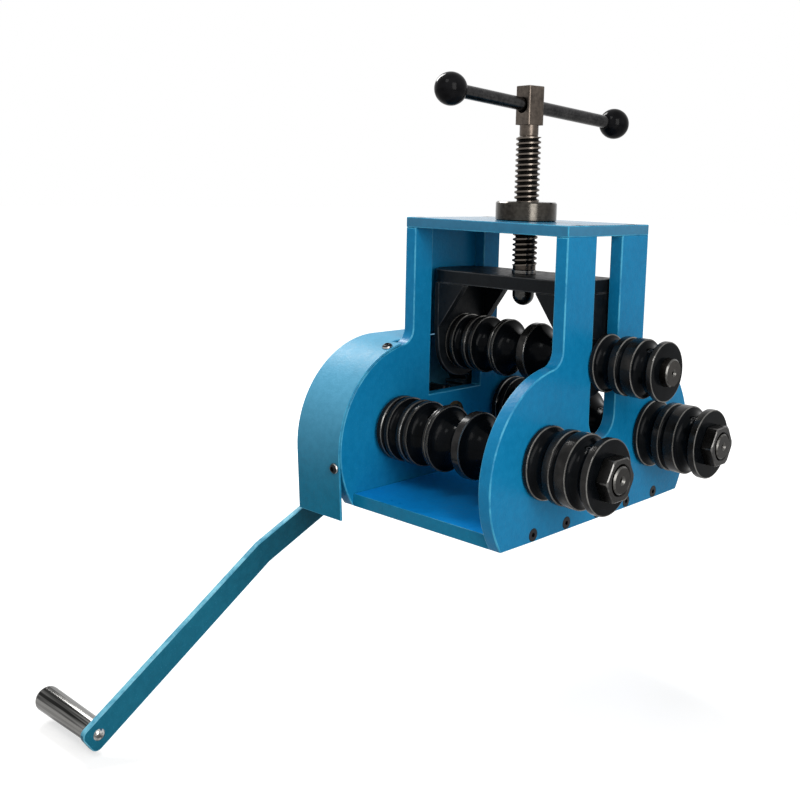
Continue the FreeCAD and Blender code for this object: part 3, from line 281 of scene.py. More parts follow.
# Top plate: a steel plate screwed on the four posts, bored for the feed nut and countersunk at its
# corners. Its enamel has flowed out smoother and glossier than the rest.
cap_top = 272
top = blank_of("top_plate")
top_holes = [((0, 0, z), 20) for z in (post_top, cap_top)]
for way in (-1, 1):
    for side in (-1, 1):
        top_holes += [((way * plate_middle, side * cap_screw_out[way], z), 8) for z in (post_top, cap_top)]
break_edges(top, 0.9, top_holes)
top_paint = blue_enamel("top_plate_enamel", (0.006, 0.12, 0.23), (0.011, 0.15, 0.28), 0.4, 0.12, 0.00002)
settle(top, "frame", "blue_paint", (top_paint, edge_paint), "top_plate")


# Countersunk socket screws: blackened steel, turned heads flush with the plates, hexagon sockets for
# a 4 mm key. One row of five in each side plate and one in each corner of the top plate.
def seat(piece, place, turn=(0, 0, 0)):
    """Put a piece at a place in millimetres, turned in degrees, and leave its object at the origin."""
    piece.location = [value / 1000 for value in place]
    piece.rotation_euler = [math.radians(angle) for angle in turn]
    only(piece)
    bpy.ops.object.transform_apply(location=True, rotation=True, scale=True)
    return piece


def traced(name, outline):
    """A line through points along X and up Z, in millimetres, left in edit mode."""
    bpy.ops.object.select_all(action="DESELECT")
    bpy.ops.mesh.primitive_circle_add(vertices=3, radius=0.001)
    piece = bpy.context.active_object
    piece.name = name
    bpy.ops.object.mode_set(mode="EDIT")
    bpy.ops.mesh.select_mode(type="VERT")
    bpy.ops.mesh.merge(type="CENTER")
    bpy.ops.transform.translate(value=(outline[0][0] / 1000, 0, outline[0][1] / 1000))
    for (along, off), (along_next, off_next) in zip(outline, outline[1:]):
        step = ((along_next - along) / 1000, 0, (off_next - off) / 1000)
        bpy.ops.mesh.extrude_vertices_move(TRANSFORM_OT_translate={"value": step})
    return piece


def turned(name, outline, place=(0, 0, 0), turn=(0, 0, 0), sides=96):
    """A lathe piece: points along X and off it, in millimetres, spun round X and then put in place."""
    piece = traced(name, outline)
    bpy.ops.mesh.select_all(action="SELECT")
    bpy.ops.mesh.spin(steps=sides, angle=2 * math.pi, center=(0, 0, 0), axis=(1, 0, 0))
    bpy.ops.mesh.select_all(action="SELECT")
    bpy.ops.mesh.remove_doubles(threshold=1e-6)
    bpy.ops.mesh.normals_make_consistent(inside=False)
    bpy.ops.object.mode_set(mode="OBJECT")
    return seat(piece, place, turn)


def six_sided(name, half, start, stop):
    """A hexagonal bar along X; half is half the width across its flats."""
    bpy.ops.object.select_all(action="DESELECT")
    bpy.ops.mesh.primitive_cylinder_add(vertices=6, radius=half / math.cos(math.pi / 6) / 1000,
                                        depth=(stop - start) / 1000)
    piece = bpy.context.active_object
    piece.name = name
    return seat(piece, ((start + stop) / 2, 0, 0), (0, 90, 0))


def carve(piece, tool, operation="DIFFERENCE"):
    """Take a tool shape away from a piece, or keep only what they share."""
    only(piece)
    knife = piece.modifiers.new("knife", "BOOLEAN")
    knife.operation = operation
    knife.object = tool
    bpy.ops.object.modifier_apply(modifier="knife")
    bpy.data.objects.remove(tool)
    return piece


def again(piece, place, turn=(0, 0, 0), name=None):
    """Another copy of a piece, with its own mesh."""
    copy = bpy.data.objects.new(name or piece.name, piece.data.copy())
    bpy.context.scene.collection.objects.link(copy)
    return seat(copy, place, turn)


def joined(name, pieces):
    """Several pieces kept as one object."""
    only(pieces[0])
    for piece in pieces[1:]:
        piece.select_set(True)
    bpy.ops.object.join()
    pieces[0].name = name
    return pieces[0]


def blackened(name, colour):
    """Blackened steel with rubbed patches."""
    steel = Finish(name)
    rubbed = steel.cloud(0.004, detail=2.0)
    grain = steel.cloud(0.0007, detail=1.0)
    shade = steel.shade(rubbed * 0.6, colour, tuple(part * 2.2 for part in colour))
    return steel.surface(shade, 0.34 + rubbed * 0.14, grain, 0.00003, {"Metallic": 0.7})


screw_black = blackened("screw_black", (0.006, 0.0065, 0.008))
sunk = turned("sunk_screw", [
    (0, 0), (0, 5.3), (0.35, 5.85), (2.9, 3), (11.5, 3), (12, 2.5), (12, 0)], sides=48)
carve(sunk, six_sided("key_socket", 2, -1, 2.4))
rows = (("base_screws_right", [((plate_outer, y, base_screw_up), (0, 180, 0)) for y in base_screw_spots]),
        ("base_screws_left", [((-plate_outer, y, base_screw_up), (0, 0, 0)) for y in base_screw_spots]),
        ("top_plate_screws", [((way * plate_middle, side * cap_screw_out[way], cap_top), (0, 90, 0))
                              for way in (-1, 1) for side in (-1, 1)]))
for node, spots in rows:
    row = joined(node + ".row", [again(sunk, place, turn) for place, turn in spots])
    settle(row, "frame", "dark_screws", screw_black, node)
bpy.data.objects.remove(sunk)


# Feed nut: a turned steel flange on the top plate, its spigot pressed through it. It is darkened and
# oiled, with the black rubbed off in upright bands.
def tool_marks(steel, along, off, fine):
    """Rings left by turning, 0 to 1, from the place along the axis and off it."""
    ring = steel.node("ShaderNodeTexNoise", {"noise_dimensions": "1D"},
                      {"W": along * 2.3 + off, "Scale": fine, "Detail": 2.0})
    return steel.between(ring, 0.3, 0.7)


def dark_steel(name, dark, light, rough, rings=None, metal=1.0, patch=(0.02, (1, 1, 1))):
    """Oiled dark steel. Tool marks run round an axis: "x" or "z" and where it stands, in millimetres."""
    steel = Finish(name)
    haze = steel.cloud(*patch, detail=3.0)
    grime = steel.cloud(0.003, detail=3.0)
    marks = grime
    if rings:
        letter, across, up = rings
        x, y, z = steel.axes()
        along, first, second = (x, y, z) if letter == "x" else (z, x, y)
        marks = tool_marks(steel, along, off_axis(first, second, across, up), 1100.0)
    colour = steel.shade(haze * 0.5 + marks * 0.3 + grime * 0.2, dark, light)
    return steel.surface(colour, rough + haze * 0.08 + marks * 0.07, marks, 0.000008, {"Metallic": metal})


upright = (0, -90, 0)
nut_steel = dark_steel("feed_nut_steel", (0.001, 0.001, 0.0015), (0.085, 0.078, 0.068), 0.08, ("z", 0, 0),
                       patch=(0.016, (1, 1, 20)))
feed_nut = turned("feed_nut", [
    (262, 12.1), (262.6, 17.9), (272, 17.9), (272.1, 28.3), (273, 29.3), (288.6, 29.3), (290, 27.9),
    (290, 14), (289, 12.6), (287.5, 12.1), (262, 12.1)], turn=upright)
settle(feed_nut, "frame", "screw_steel", nut_steel, "screw_nut")

# Slot cover: thin steel sheet, cut flat, welded on the left plate over its slot and sprayed with it, so
# that nothing falls on the gears.
slot_cover = blank_of("slot_cover")
break_edges(slot_cover, 0.5)
settle(slot_cover, "frame", "blue_paint", side_paint, "slot_cover")


# Gear cover: sheet steel bent round the left plate's lobes and welded to a flat face, enamelled like
# the frame but in thinner coats. Four button-head screws hold it to the plate's edge.
def crown_highlight_enamel(name, dark, light, pale_tint):
    """The frame's enamel in thinner coats, painted paler toward the crown of the bend as a highlight."""
    paint = Finish(name)
    x, y, height = paint.axes()
    drift = paint.cloud(0.09, detail=4.0)
    mottle = paint.cloud(0.006, detail=3.0)
    crown = paint.between(height, 0.0, 0.126)
    # Painted highlight: the colour turns paler toward the top of the bend.
    painted_highlight = crown * (0.66 + drift * 0.22 + mottle * 0.12)
    colour = paint.shade(drift * 0.5 + mottle * 0.5, dark, light)
    colour = paint.shade(painted_highlight, colour, pale_tint)
    return paint.surface(colour, 0.40 + mottle * 0.08, orange_peel(paint, mottle), 0.00011,
                         {"Specular IOR Level": 0.06})


cover_paint = crown_highlight_enamel("cover_enamel", (0.003, 0.115, 0.2), (0.006, 0.145, 0.25), (0.09, 0.325, 0.5))
cover_radius = 98.3
flank_lean, flank_drop = 3.3, 10
high, low = math.radians(crown_lean), math.radians(flank_lean)
crown_out, crown_up = lobe_out + cover_radius * math.sin(high), lobe_up + cover_radius * math.cos(high)
flank_out = lobe_out + cover_radius * math.cos(low) - flank_drop * math.sin(low)
flank_up = lobe_up - cover_radius * math.sin(low) - flank_drop * math.cos(low)
button_spots = []
for side in (-1, 1):
    button_spots.append(((-plate_middle, side * crown_out, crown_up), side * -crown_lean))
    button_spots.append(((-plate_middle, side * flank_out, flank_up), side * (-90 - flank_lean)))
cover = blank_of("gear_cover")
break_edges(cover, 0.7, [(place, 6) for place, lean in button_spots] + [((-144, 0, axle_up), 16)])
settle(cover, "frame", "blue_paint", (cover_paint, edge_paint), "gear_cover")
button = turned("button_screw", [
    (-17.5, 0), (-17.5, 2.5), (-17, 3), (0, 3), (0.02, 4.9), (0.3, 5.2), (0.9, 5.15), (1.8, 4.7), (2.6, 3.9),
    (3.1, 3.1), (3.2, 2.6), (3.2, 0)], turn=upright, sides=48)
carve(button, seat(six_sided("button_socket", 2.4, 1.2, 4), (0, 0, 0), upright))
# The outer rim of each head takes bright steel: a painted highlight ring.
bare(button, lambda centre, normal: math.hypot(centre.x, centre.y) > 4.3)
button_steel = (blackened("button_steel", (0.006, 0.0065, 0.008)),
                dark_steel("button_rim_painted_highlight", (0.2, 0.2, 0.2), (0.5, 0.5, 0.49), 0.15))
dress(button, button_steel)
buttons = [again(button, place, (lean, 0, 0)) for place, lean in button_spots]
bpy.data.objects.remove(button)
settle(joined("cover_buttons", buttons), "frame", "dark_screws", button_steel, "gear_cover_screws")


# Bushes: sintered bronze, pressed into the plates with their flanges toward the rollers, and two for
# the crank shaft, in the left plate and in the cover.
def bronze(name):
    """Dull, porous bronze."""
    alloy = Finish(name)
    dull = alloy.cloud(0.006, detail=3.0)
    pores = alloy.cloud(0.0006, detail=1.0)
    colour = alloy.shade(dull, (0.13, 0.08, 0.035), (0.26, 0.17, 0.08))
    return alloy.surface(colour, 0.36 + dull * 0.15, pores, 0.00002, {"Metallic": 1.0})


bush_metal = bronze("bush_bronze")
lower_bush = turned("lower_bush", [
    (80.5, 14.55), (80.5, 22.4), (81.1, 23), (84.4, 23), (84.5, 18), (96.9, 18), (97.5, 17.4), (97.5, 14.55),
    (97, 14.05), (81, 14.05), (80.5, 14.55)])
for side, word in ((-1, "front"), (1, "rear")):
    for turn, hand in ((0, "right"), (180, "left")):
        node = "bush_%s_%s" % (word, hand)
        bush = again(lower_bush, (0, side * axle_out, axle_up), (0, turn, 0), node + ".turned")
        settle(bush, "frame", "bronze", bush_metal, node)
bpy.data.objects.remove(lower_bush)
inner_bush = turned("crank_bush_plate", [
    (-100, 10.5), (-100, 16.5), (-99.5, 17), (-97.6, 17), (-97.5, 14), (-84.5, 14), (-84.5, 10.5),
    (-85, 10.05), (-99.6, 10.05), (-100, 10.5)], (0, 0, axle_up))
settle(inner_bush, "frame", "bronze", bush_metal, "crank_bush_inner")
outer_bush = turned("crank_bush_cover", [
    (-146.6, 10.5), (-146.6, 13.5), (-146.1, 14), (-143.1, 14), (-143, 17), (-140.5, 17), (-140.5, 10.5),
    (-141, 10.05), (-146.1, 10.05), (-146.6, 10.5)], (0, 0, axle_up))
settle(outer_bush, "frame", "bronze", bush_metal, "crank_bush_outer")


# Carriage: a thick plate that hangs from the feed screw and runs in the left plate's slot, two end
# plates with the upper shaft's bushes, and four gussets, all welded and sprayed black.
def black_enamel(name):
    """Sprayed black enamel, a little paler where it is thin."""
    paint = Finish(name)
    drift = paint.cloud(0.05, detail=3.0)
    mottle = paint.cloud(0.006, detail=3.0)
    colour = paint.shade(drift * 0.5 + mottle * 0.5, (0.002, 0.003, 0.0042), (0.006, 0.0075, 0.009))
    return paint.surface(colour, 0.36 + mottle * 0.12, orange_peel(paint, mottle, 0.002, 0.4), 0.00012,
                         {"Specular IOR Level": 0.11})


carriage_paint = (black_enamel("carriage_enamel"),
                  thin_enamel("carriage_edge", (0.006, 0.0065, 0.007), (0.05, 0.052, 0.055)))
upper_up = 147
upper_bushes = (("upper_bush_left", -81.5, -76), ("upper_bush_right", 76, 96))
bores = [((x, 0, upper_up), 17) for node, *ends in upper_bushes for x in ends]
bores += [((0, 0, z), 9) for z in (208.3, 221.3)]
edge_widths = [("carriage_plate", 1.0), ("carriage_end_left", 0.8), ("carriage_end_right", 0.8)]
for word in ("front", "rear"):
    edge_widths += [("gusset_%s_%s" % (word, hand), 0.6) for hand in ("left", "right")]
for node, width in edge_widths:
    part = blank_of(node)
    break_edges(part, width, bores)
    settle(part, "carriage", "black_paint", carriage_paint, node)
for node, start, stop in upper_bushes:
    bush = turned(node + ".turned", [
        (start, 13), (start, 15.5), (start + 0.5, 16), (stop - 0.5, 16), (stop, 15.5), (stop, 13),
        (stop - 0.45, 12.55), (start + 0.45, 12.55), (start, 13)], (0, 0, upper_up))
    settle(bush, "carriage", "bronze", bush_metal, node)

# Shafts: turned steel, darkened by handling, with chamfered ends and centre holes. The two lower ones
# are stepped for the gear and the outboard roller and threaded at both ends.
end_steel = dark_steel("shaft_end_steel", (0.04, 0.039, 0.037), (0.14, 0.137, 0.13), 0.22)


def end_cone(centre, normal):
    """The chamfer and the centre hole at a shaft's right end."""
    return centre.x > 165 and 0.3 < abs(normal.x) < 0.9


lower_shaft = bare(turned("lower_shaft", [
    (-139, 0), (-139, 10.8), (-137.8, 12), (-124.9, 12), (-124.9, 12.5), (-101, 12.5), (-101, 13.6),
    (-100.6, 14), (98.4, 14), (98.8, 13.6), (98.8, 12.5), (164.4, 12.5), (164.4, 12), (176.2, 12),
    (177.49, 10.7), (177.49, 3.9), (175.6, 1.9), (172, 1.7), (171, 0)]), end_cone)
for side, word in ((-1, "front"), (1, "rear")):
    node = word + "_shaft"
    coat = dark_steel(node + "_steel", (0.012, 0.0115, 0.011), (0.032, 0.03, 0.028), 0.28,
                      ("x", side * axle_out, axle_up))
    shaft = again(lower_shaft, (0, side * axle_out, axle_up), name=node + ".turned")
    settle(shaft, word + "_axle", "turned_steel", (coat, end_steel), node)
bpy.data.objects.remove(lower_shaft)
coat = dark_steel("upper_shaft_steel", (0.022, 0.02, 0.018), (0.055, 0.05, 0.045), 0.28, ("x", 0, upper_up))
upper_shaft = bare(turned("upper_shaft.turned", [
    (-81.1, 0), (-81.1, 11.5), (-80.1, 12.5), (168.8, 12.5), (170, 11.3), (170, 3.4), (168.4, 1.6),
    (165, 1.4), (164, 0)], (0, 0, upper_up)), end_cone)
settle(upper_shaft, "upper_axle", "turned_steel", (coat, end_steel), "upper_shaft")


# Rollers: steel turned with round grooves for pipe of several sizes, blackened in hot oxide, the lands
# rubbed a little brighter by the pipes and the rounded lips of the grooves painted bright as a highlight.
# Each is held on its shaft by a grub screw in a groove.
def oxide(name, across, up, rim):
    """Blued black steel round an axis, worn at the rim and painted bright on the rounded lips as a
    highlight; the sizes are in millimetres.
    """
    steel = Finish(name)
    x, y, z = steel.axes()
    off = off_axis(y, z, across, up)
    marks = tool_marks(steel, x, off, 900.0)
    haze = steel.cloud(0.016, detail=3.0)
    near_rim = steel.between(off, (rim - 1.4) / 1000, (rim - 0.9) / 1000)
    rubbed = near_rim * (0.45 + steel.cloud(0.011, detail=4.0) * 0.55)
    land = steel.between(off, (rim - 0.3) / 1000, (rim - 0.1) / 1000)
    colour = steel.shade(haze * 0.6 + marks * 0.4, (0.001, 0.0015, 0.002), (0.004, 0.0048, 0.006))
    # Painted highlight: the rounded lips just under the rim are bright, the lands themselves only a little
    # paler from wear.
    wear_and_highlight = steel.shade(land, (0.22, 0.215, 0.205), (0.034, 0.033, 0.032))
    colour = steel.shade(rubbed * 0.9, colour, wear_and_highlight)
    return steel.surface(colour, 0.13 + haze * 0.06 + marks * 0.05, marks, 0.00001,
                         {"Metallic": rubbed * 0.9, "Specular IOR Level": 0.035})


def groove(start, wide, rim, deepest):
    """Points of a round groove with softened lips."""
    soft = 0.8
    deep = min(wide / 2, deepest)
    arc = ((wide / 2) ** 2 + deep ** 2) / (2 * deep)
    middle = start + wide / 2
    centre = rim - deep + arc
    lip = math.acos(min(1, (centre - rim + soft) / arc))
    steps = max(6, round(2 * lip * arc / 1.6))
    line = [(start - soft * 0.8, rim), (start - soft * 0.25, rim - soft * 0.2)]
    for step in range(steps + 1):
        angle = -lip + 2 * lip * step / steps
        line.append((middle + arc * math.sin(angle), centre - arc * math.cos(angle)))
    line += [(start + wide + soft * 0.25, rim - soft * 0.2), (start + wide + soft * 0.8, rim)]
    return line


def roller(start, stop, rim, bore, grooves, deepest):
    """A grooved roller on the X axis with chamfered ends."""
    line = [(start, bore + 0.5), (start, rim - 1), (start + 0.3, rim - 0.3), (start + 1, rim)]
    for groove_start, wide in grooves:
        points = groove(groove_start, wide, rim, deepest)
        line += [point for point in points if point[0] > line[-1][0] + 0.05]
    if line[-1][0] < stop - 1:
        line.append((stop - 1, rim))
    line += [(stop - 0.3, rim - 0.3), (stop, rim - 1), (stop, bore + 0.5), (stop - 0.5, bore + 0.02),
             (start + 0.5, bore + 0.02), (start, bore + 0.5)]
    return turned("roller", line)


left_grooves = [(-75, 5), (-66, 12), (-50, 5), (-41, 21)]
right_grooves = [(-14, 30), (24, 38)]
outer_grooves = [(103, 16), (125.5, 6), (142, 16)]
inner_joint = -17
grub_turn = (24, 0, 0)
grub_black = blackened("grub_black", (0.02, 0.02, 0.021))
lower_axles = (("front", -axle_out), ("rear", axle_out))
for axles, up, rim, end, bore, deepest, outer_rim, outer_end in (
        (lower_axles, axle_up, 31.5, 80, 14, 14, 33, 164.5),
        ((("upper", 0),), upper_up, 28.3, 75.5, 12.5, 12, 27, 163)):
    coats = {}
    grubs = {}
    for word, across in axles:
        inner_oxide = oxide(word + "_inner_oxide", across, up, rim)
        outer_oxide = oxide(word + "_outer_oxide", across, up, outer_rim)
        coats[word] = {"_inner_roller_a": inner_oxide, "_inner_roller_b": inner_oxide,
                       "_outer_roller": outer_oxide}
        grubs[word] = []
    for tail, start, stop, rim_here, bore_here, grooves, deepest_here, grub_at, deep in (
            ("_inner_roller_a", -end, inner_joint, rim, bore, left_grooves, deepest, -30.5, 10.5),
            ("_inner_roller_b", inner_joint, end, rim, bore, right_grooves, deepest, 43, deepest),
            ("_outer_roller", 99, outer_end, outer_rim, 12.5, outer_grooves, 6.5, 150, 6.5)):
        body = roller(start, stop, rim_here, bore_here, grooves, deepest_here)
        hole = turned("grub_hole", [(bore_here - 6, 0), (bore_here - 6, 3.3), (40, 3.3), (40, 0)],
                      turn=upright, sides=32)
        carve(body, seat(hole, (grub_at, 0, 0), grub_turn))
        foot, head = bore_here + 0.02, rim_here - deep - 0.6
        grub = turned("grub", [
            (foot, 0), (foot, 2.2), (foot + 0.8, 3), (head - 0.5, 3), (head, 2.6), (head, 0)],
            turn=upright, sides=32)
        carve(grub, seat(six_sided("grub_socket", 1.25, head - 2.2, head + 1), (0, 0, 0), upright))
        for word, across in axles:
            copy = again(body, (0, across, up), name=word + tail + ".turned")
            settle(copy, word + "_axle", "black_oxide", coats[word][tail], word + tail)
            grubs[word].append(again(grub, (grub_at, across, up), grub_turn))
        bpy.data.objects.remove(body)
        bpy.data.objects.remove(grub)
    for word, copies in grubs.items():
        row = joined(word + "_grubs", copies)
        settle(row, word + "_axle", "dark_screws", grub_black, word + "_grub_screws")


# Nuts: hexagon nuts with chamfered corners, forged and darkened, two on each lower shaft and one on the
# crank shaft, their corners worn bright by the spanner, the brightness there also a painted highlight.
def hex_nut(name, half, bore, thick):
    """A nut on X from 0 to its thickness, its corners cut back by a cone at both faces."""
    nut = bare(six_sided(name, half, 0, thick))
    break_edges(nut, 0.8, steps=1)
    slope = math.tan(math.radians(30))
    wide = half / math.cos(math.pi / 6) + 0.4
    start = half * 1.03
    rise = (wide - start) * slope
    dish = turned("chamfer", [(-1, 0), (-1, start - 1 / slope), (rise, wide), (thick - rise, wide),
                              (thick + 1, start - 1 / slope), (thick + 1, 0)])
    carve(nut, bare(dish, lambda centre, normal: True), "INTERSECT")
    hole = turned("bore", [(-1, 0), (-1, bore + 2.6), (1.6, bore + 0.1), (thick - 1.6, bore + 0.1),
                           (thick + 1, bore + 2.6), (thick + 1, 0)], sides=64)
    return carve(nut, bare(hole))


def nut_coat(name, across):
    """Darkened flats, worn to bright steel along the corners, which also carry a painted highlight."""
    return (dark_steel(name, (0.01, 0.0098, 0.0096), (0.03, 0.029, 0.028), 0.22,
                       ("x", across, axle_up), 0.9),
            dark_steel(name + "_corners", (0.04, 0.039, 0.038), (0.15, 0.147, 0.143), 0.22))


nut_coats = {word: nut_coat(word + "_nut_steel", across) for word, across in lower_axles}
for tail, thick, along in (("_nut", 11.5, 164.5), ("_gear_nut", 12, -137)):
    nut = hex_nut("nut", 18, 12.3, thick)
    for word, across in lower_axles:
        copy = again(nut, (along, across, axle_up), name=word + tail + ".hexagon")
        settle(copy, word + "_axle", "turned_steel", nut_coats[word], word + tail, sharp=18)
    bpy.data.objects.remove(nut)

# Gears: hobbed steel wheels of 48 teeth, oiled, driven by the pinion on the crank shaft. They keep the
# shape they were designed with.
for word, across in lower_axles:
    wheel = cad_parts[word + "_gear"]
    dress(wheel, dark_steel(word + "_gear_steel", (0.12, 0.115, 0.11), (0.24, 0.23, 0.22), 0.3,
                            ("x", across, axle_up)))


# Feed screw: a trapezoid thread of 5 mm pitch, a turned neck and a milled square head with a cross
# hole, all one piece of oiled steel. Its collar stands on the thrust ring and carries the carriage.
def oiled_thread(name, dark, light):
    """Oiled steel, painted black down in the thread as shade and paler along its crest as a highlight."""
    steel = Finish(name)
    x, y, z = steel.axes()
    off = off_axis(x, y)
    threaded = 1 - steel.between(z, 0.3503, 0.3512)
    root = (1 - steel.between(off, 0.0098, 0.0113)) * threaded
    crest = steel.between(off, 0.0116, 0.0119) * threaded
    haze = steel.cloud(0.02, detail=3.0)
    grime = steel.cloud(0.003, detail=3.0)
    colour = steel.shade(haze * 0.6 + grime * 0.4, dark, light)
    # Painted highlight along the crest, then painted shade down in the thread root.
    colour = steel.shade(crest * 0.6, colour, (0.16, 0.14, 0.12))
    colour = steel.shade(root, colour, (0.006, 0.0055, 0.005))
    return steel.surface(colour, 0.24 + haze * 0.1 + root * 0.3, grime, 0.00002, {"Metallic": 1.0})


screw_steel = oiled_thread("feed_screw_steel", (0.05, 0.042, 0.036), (0.125, 0.103, 0.086))
thread_low, thread_high, head_low = 0.229, 0.351, 0.3619
thread = traced("thread", [
    (9.5, 222.5), (9.5, 224), (11.6, 224.85), (11.95, 225), (11.95, 226.5), (11.6, 226.65), (9.5, 227.5)])
bpy.ops.object.mode_set(mode="OBJECT")
helix = thread.modifiers.new("helix", "SCREW")
helix.axis = "Z"
helix.angle = math.radians(360)
helix.screw_offset = 0.005
helix.iterations = 27
helix.steps = 40
helix.render_steps = 40
helix.use_merge_vertices = True
helix.merge_threshold = 1e-6
bpy.ops.object.modifier_apply(modifier="helix")
bpy.ops.object.mode_set(mode="EDIT")
for cut_up, keep_above in ((thread_low, True), (thread_high, False)):
    bpy.ops.mesh.select_all(action="SELECT")
    bpy.ops.mesh.bisect(plane_co=(0, 0, cut_up), plane_no=(0, 0, 1), use_fill=True, clear_inner=keep_above,
                        clear_outer=not keep_above)
bpy.ops.mesh.select_all(action="SELECT")
bpy.ops.mesh.remove_doubles(threshold=1e-6)
bpy.ops.mesh.normals_make_consistent(inside=False)
bpy.ops.object.mode_set(mode="OBJECT")
stem = turned("screw_stem", [
    (194.5, 0), (194.5, 5.2), (195.3, 6), (208.2, 6), (208.2, 7.6), (208.6, 8), (225, 8), (225, 10.6),
    (225.4, 11), (229.5, 11), (229.5, 9), (350.5, 9), (351.5, 8.6), (353, 9), (363, 9), (363, 0)],
    turn=upright)
head = blank_of("lead_screw")
bpy.ops.object.mode_set(mode="EDIT")
bpy.ops.mesh.select_all(action="SELECT")
bpy.ops.mesh.bisect(plane_co=(0, 0, head_low), plane_no=(0, 0, 1), use_fill=True, clear_inner=True)
bpy.ops.object.mode_set(mode="OBJECT")
break_edges(head, 0.7)
feed_screw = joined("feed_screw_turned", [thread, stem, head])
settle(feed_screw, "feed_screw", "screw_steel", screw_steel, "lead_screw")

# Thrust ring, washer and domed nut: turned steel on the feed screw above and below the carriage plate.
# They hold the carriage to the screw and let the screw turn in it.
ring_steel = dark_steel("thrust_ring_steel", (0.15, 0.145, 0.14), (0.36, 0.35, 0.33), 0.2, ("z", 0, 0))
ring = turned("thrust_ring.turned", [
    (221.4, 8.4), (221.4, 11.3), (221.8, 11.75), (224.6, 11.75), (225, 11.3), (225, 8.4), (224.6, 8.02),
    (221.8, 8.02), (221.4, 8.4)], turn=upright)
settle(ring, "feed_screw", "screw_steel", ring_steel, "thrust_ring")
retainer_steel = dark_steel("retainer_steel", (0.025, 0.026, 0.027), (0.085, 0.084, 0.08), 0.16, ("z", 0, 0))
washer = turned("washer.turned", [
    (205.2, 6.3), (205.2, 12.7), (205.5, 13), (207.9, 13), (208.2, 12.7), (208.2, 6.3), (205.2, 6.3)],
    turn=upright)
settle(washer, "feed_screw", "screw_steel", retainer_steel, "retaining_washer")
dome_up, dome_radius = 190.5, 10.5
dome_line = [(dome_up + dome_radius - dome_radius * math.cos(math.radians(angle)),
              dome_radius * math.sin(math.radians(angle))) for angle in range(0, 91, 9)]
dome_line += [(204.8, dome_radius), (205.2, 10.1), (205.2, 6.3), (194.3, 6.3), (194.3, 0)]
dome = turned("domed_nut.turned", dome_line, turn=upright)
settle(dome, "feed_screw", "screw_steel", retainer_steel, "retaining_nut")

# T-bar: a round steel bar that slides in the screw's head and lies tilted in its hole, with a glossy
# black ball screwed on each end.
bar_place, bar_turn = (0, 0, 380), (0, -5.34, -100.8)
bar_radius, ball_radius, ball_flat = 6.25, 15, 6.6
near_ball, far_ball = 94, -113.3
bar_steel = dark_steel("t_bar_steel", (0.02, 0.02, 0.021), (0.055, 0.054, 0.054), 0.16)
seat_depth = math.sqrt(ball_radius ** 2 - bar_radius ** 2)
bar_low, bar_high = seat_depth + far_ball, near_ball - seat_depth
bar = turned("t_bar.turned", [
    (bar_low - 12, 0), (bar_low - 12, 4), (bar_low, 4), (bar_low, 5.9), (bar_low + 0.4, bar_radius),
    (bar_high - 0.4, bar_radius), (bar_high, 5.9), (bar_high, 4), (bar_high + 12, 4), (bar_high + 12, 0)],
    bar_place, bar_turn, sides=64)
settle(bar, "cross_bar", "screw_steel", bar_steel, "t_bar")


def ball_black(name):
    """Moulded black plastic, polished by the hand."""
    gloss = Finish(name)
    haze = gloss.cloud(0.012, detail=3.0)
    speck = gloss.cloud(0.0015, detail=1.0)
    colour = gloss.shade(haze, (0.002, 0.002, 0.0025), (0.006, 0.006, 0.007))
    return gloss.surface(colour, 0.1 + haze * 0.06, speck, 0.000015, {"Specular IOR Level": 0.045})


ball_coat = ball_black("ball_black")
flat_angle = math.degrees(math.asin(ball_flat / ball_radius))
ball_line = [(0, 0), (0, 4.02), (-seat_depth + 0.15, 4.02), (-seat_depth + 0.15, 5.9)]
for step in range(31):
    angle = math.radians(180 - flat_angle - (180 - flat_angle) * step / 30)
    ball_line.append((ball_radius * math.cos(angle), ball_radius * math.sin(angle)))
for node, middle, way in (("knob_near", near_ball, 1), ("knob_far", far_ball, -1)):
    outline = [(middle + way * along, off) for along, off in ball_line]
    ball = turned(node + ".turned", outline, bar_place, bar_turn, sides=80)
    settle(ball, "cross_bar", "screw_steel", ball_coat, node)

# Crank: the shaft with its pinion keeps its designed shape. The arm is flat bar, bent outward past the
# cover, sprayed blue, and held on the shaft's flats by a nut.
arm_lean = 34.1
crank_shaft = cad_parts["crank_shaft"]
dress(crank_shaft, dark_steel("crank_shaft_steel", (0.06, 0.057, 0.055), (0.14, 0.13, 0.125), 0.3,
                              ("x", 0, axle_up)))
arm = blank_of("crank_arm")
break_edges(arm, 0.9, [((x, 0, axle_up), 12) for x in (-147, -153)], steps=3)
# The arm's upward-facing edge faces take the paler edge enamel: a painted highlight.
for face in arm.data.polygons:
    if abs(face.normal.x) < 0.2 and face.normal.z > 0.3:
        face.material_index = 1
# The crank enamel carries a painted shadow that darkens the arm toward the hub.
crank_paint = (blue_enamel("crank_enamel", (0.004, 0.095, 0.155), (0.007, 0.12, 0.19), shadow_reach=(0.12, 0.32)),
               thin_enamel("crank_edge", (0.03, 0.22, 0.34), (0.16, 0.45, 0.58)))
settle(arm, "crank", "blue_paint", crank_paint, "crank_arm")
crank_nut = seat(hex_nut("crank_nut.hexagon", 12, 8.3, 13), (-166, 0, axle_up), (arm_lean, 0, 0))
settle(crank_nut, "crank", "turned_steel", nut_coat("crank_nut_steel", 0), "crank_nut", sharp=18)


# Grip: a polished steel sleeve that turns on a spindle riveted into the arm.
# The spindle's end is a low rivet head on the arm's inner face.
def polished(name, dark, light):
    """Bright steel with streaks drawn along X."""
    steel = Finish(name)
    streak = steel.cloud(0.0045, (70, 1, 1), detail=3.0, low=0.38, high=0.58)
    haze = steel.cloud(0.02, detail=2.0)
    colour = steel.shade(streak, dark, light)
    return steel.surface(colour, 0.1 + streak * 0.08 + haze * 0.05, streak, 0.000006, {"Metallic": 1.0})


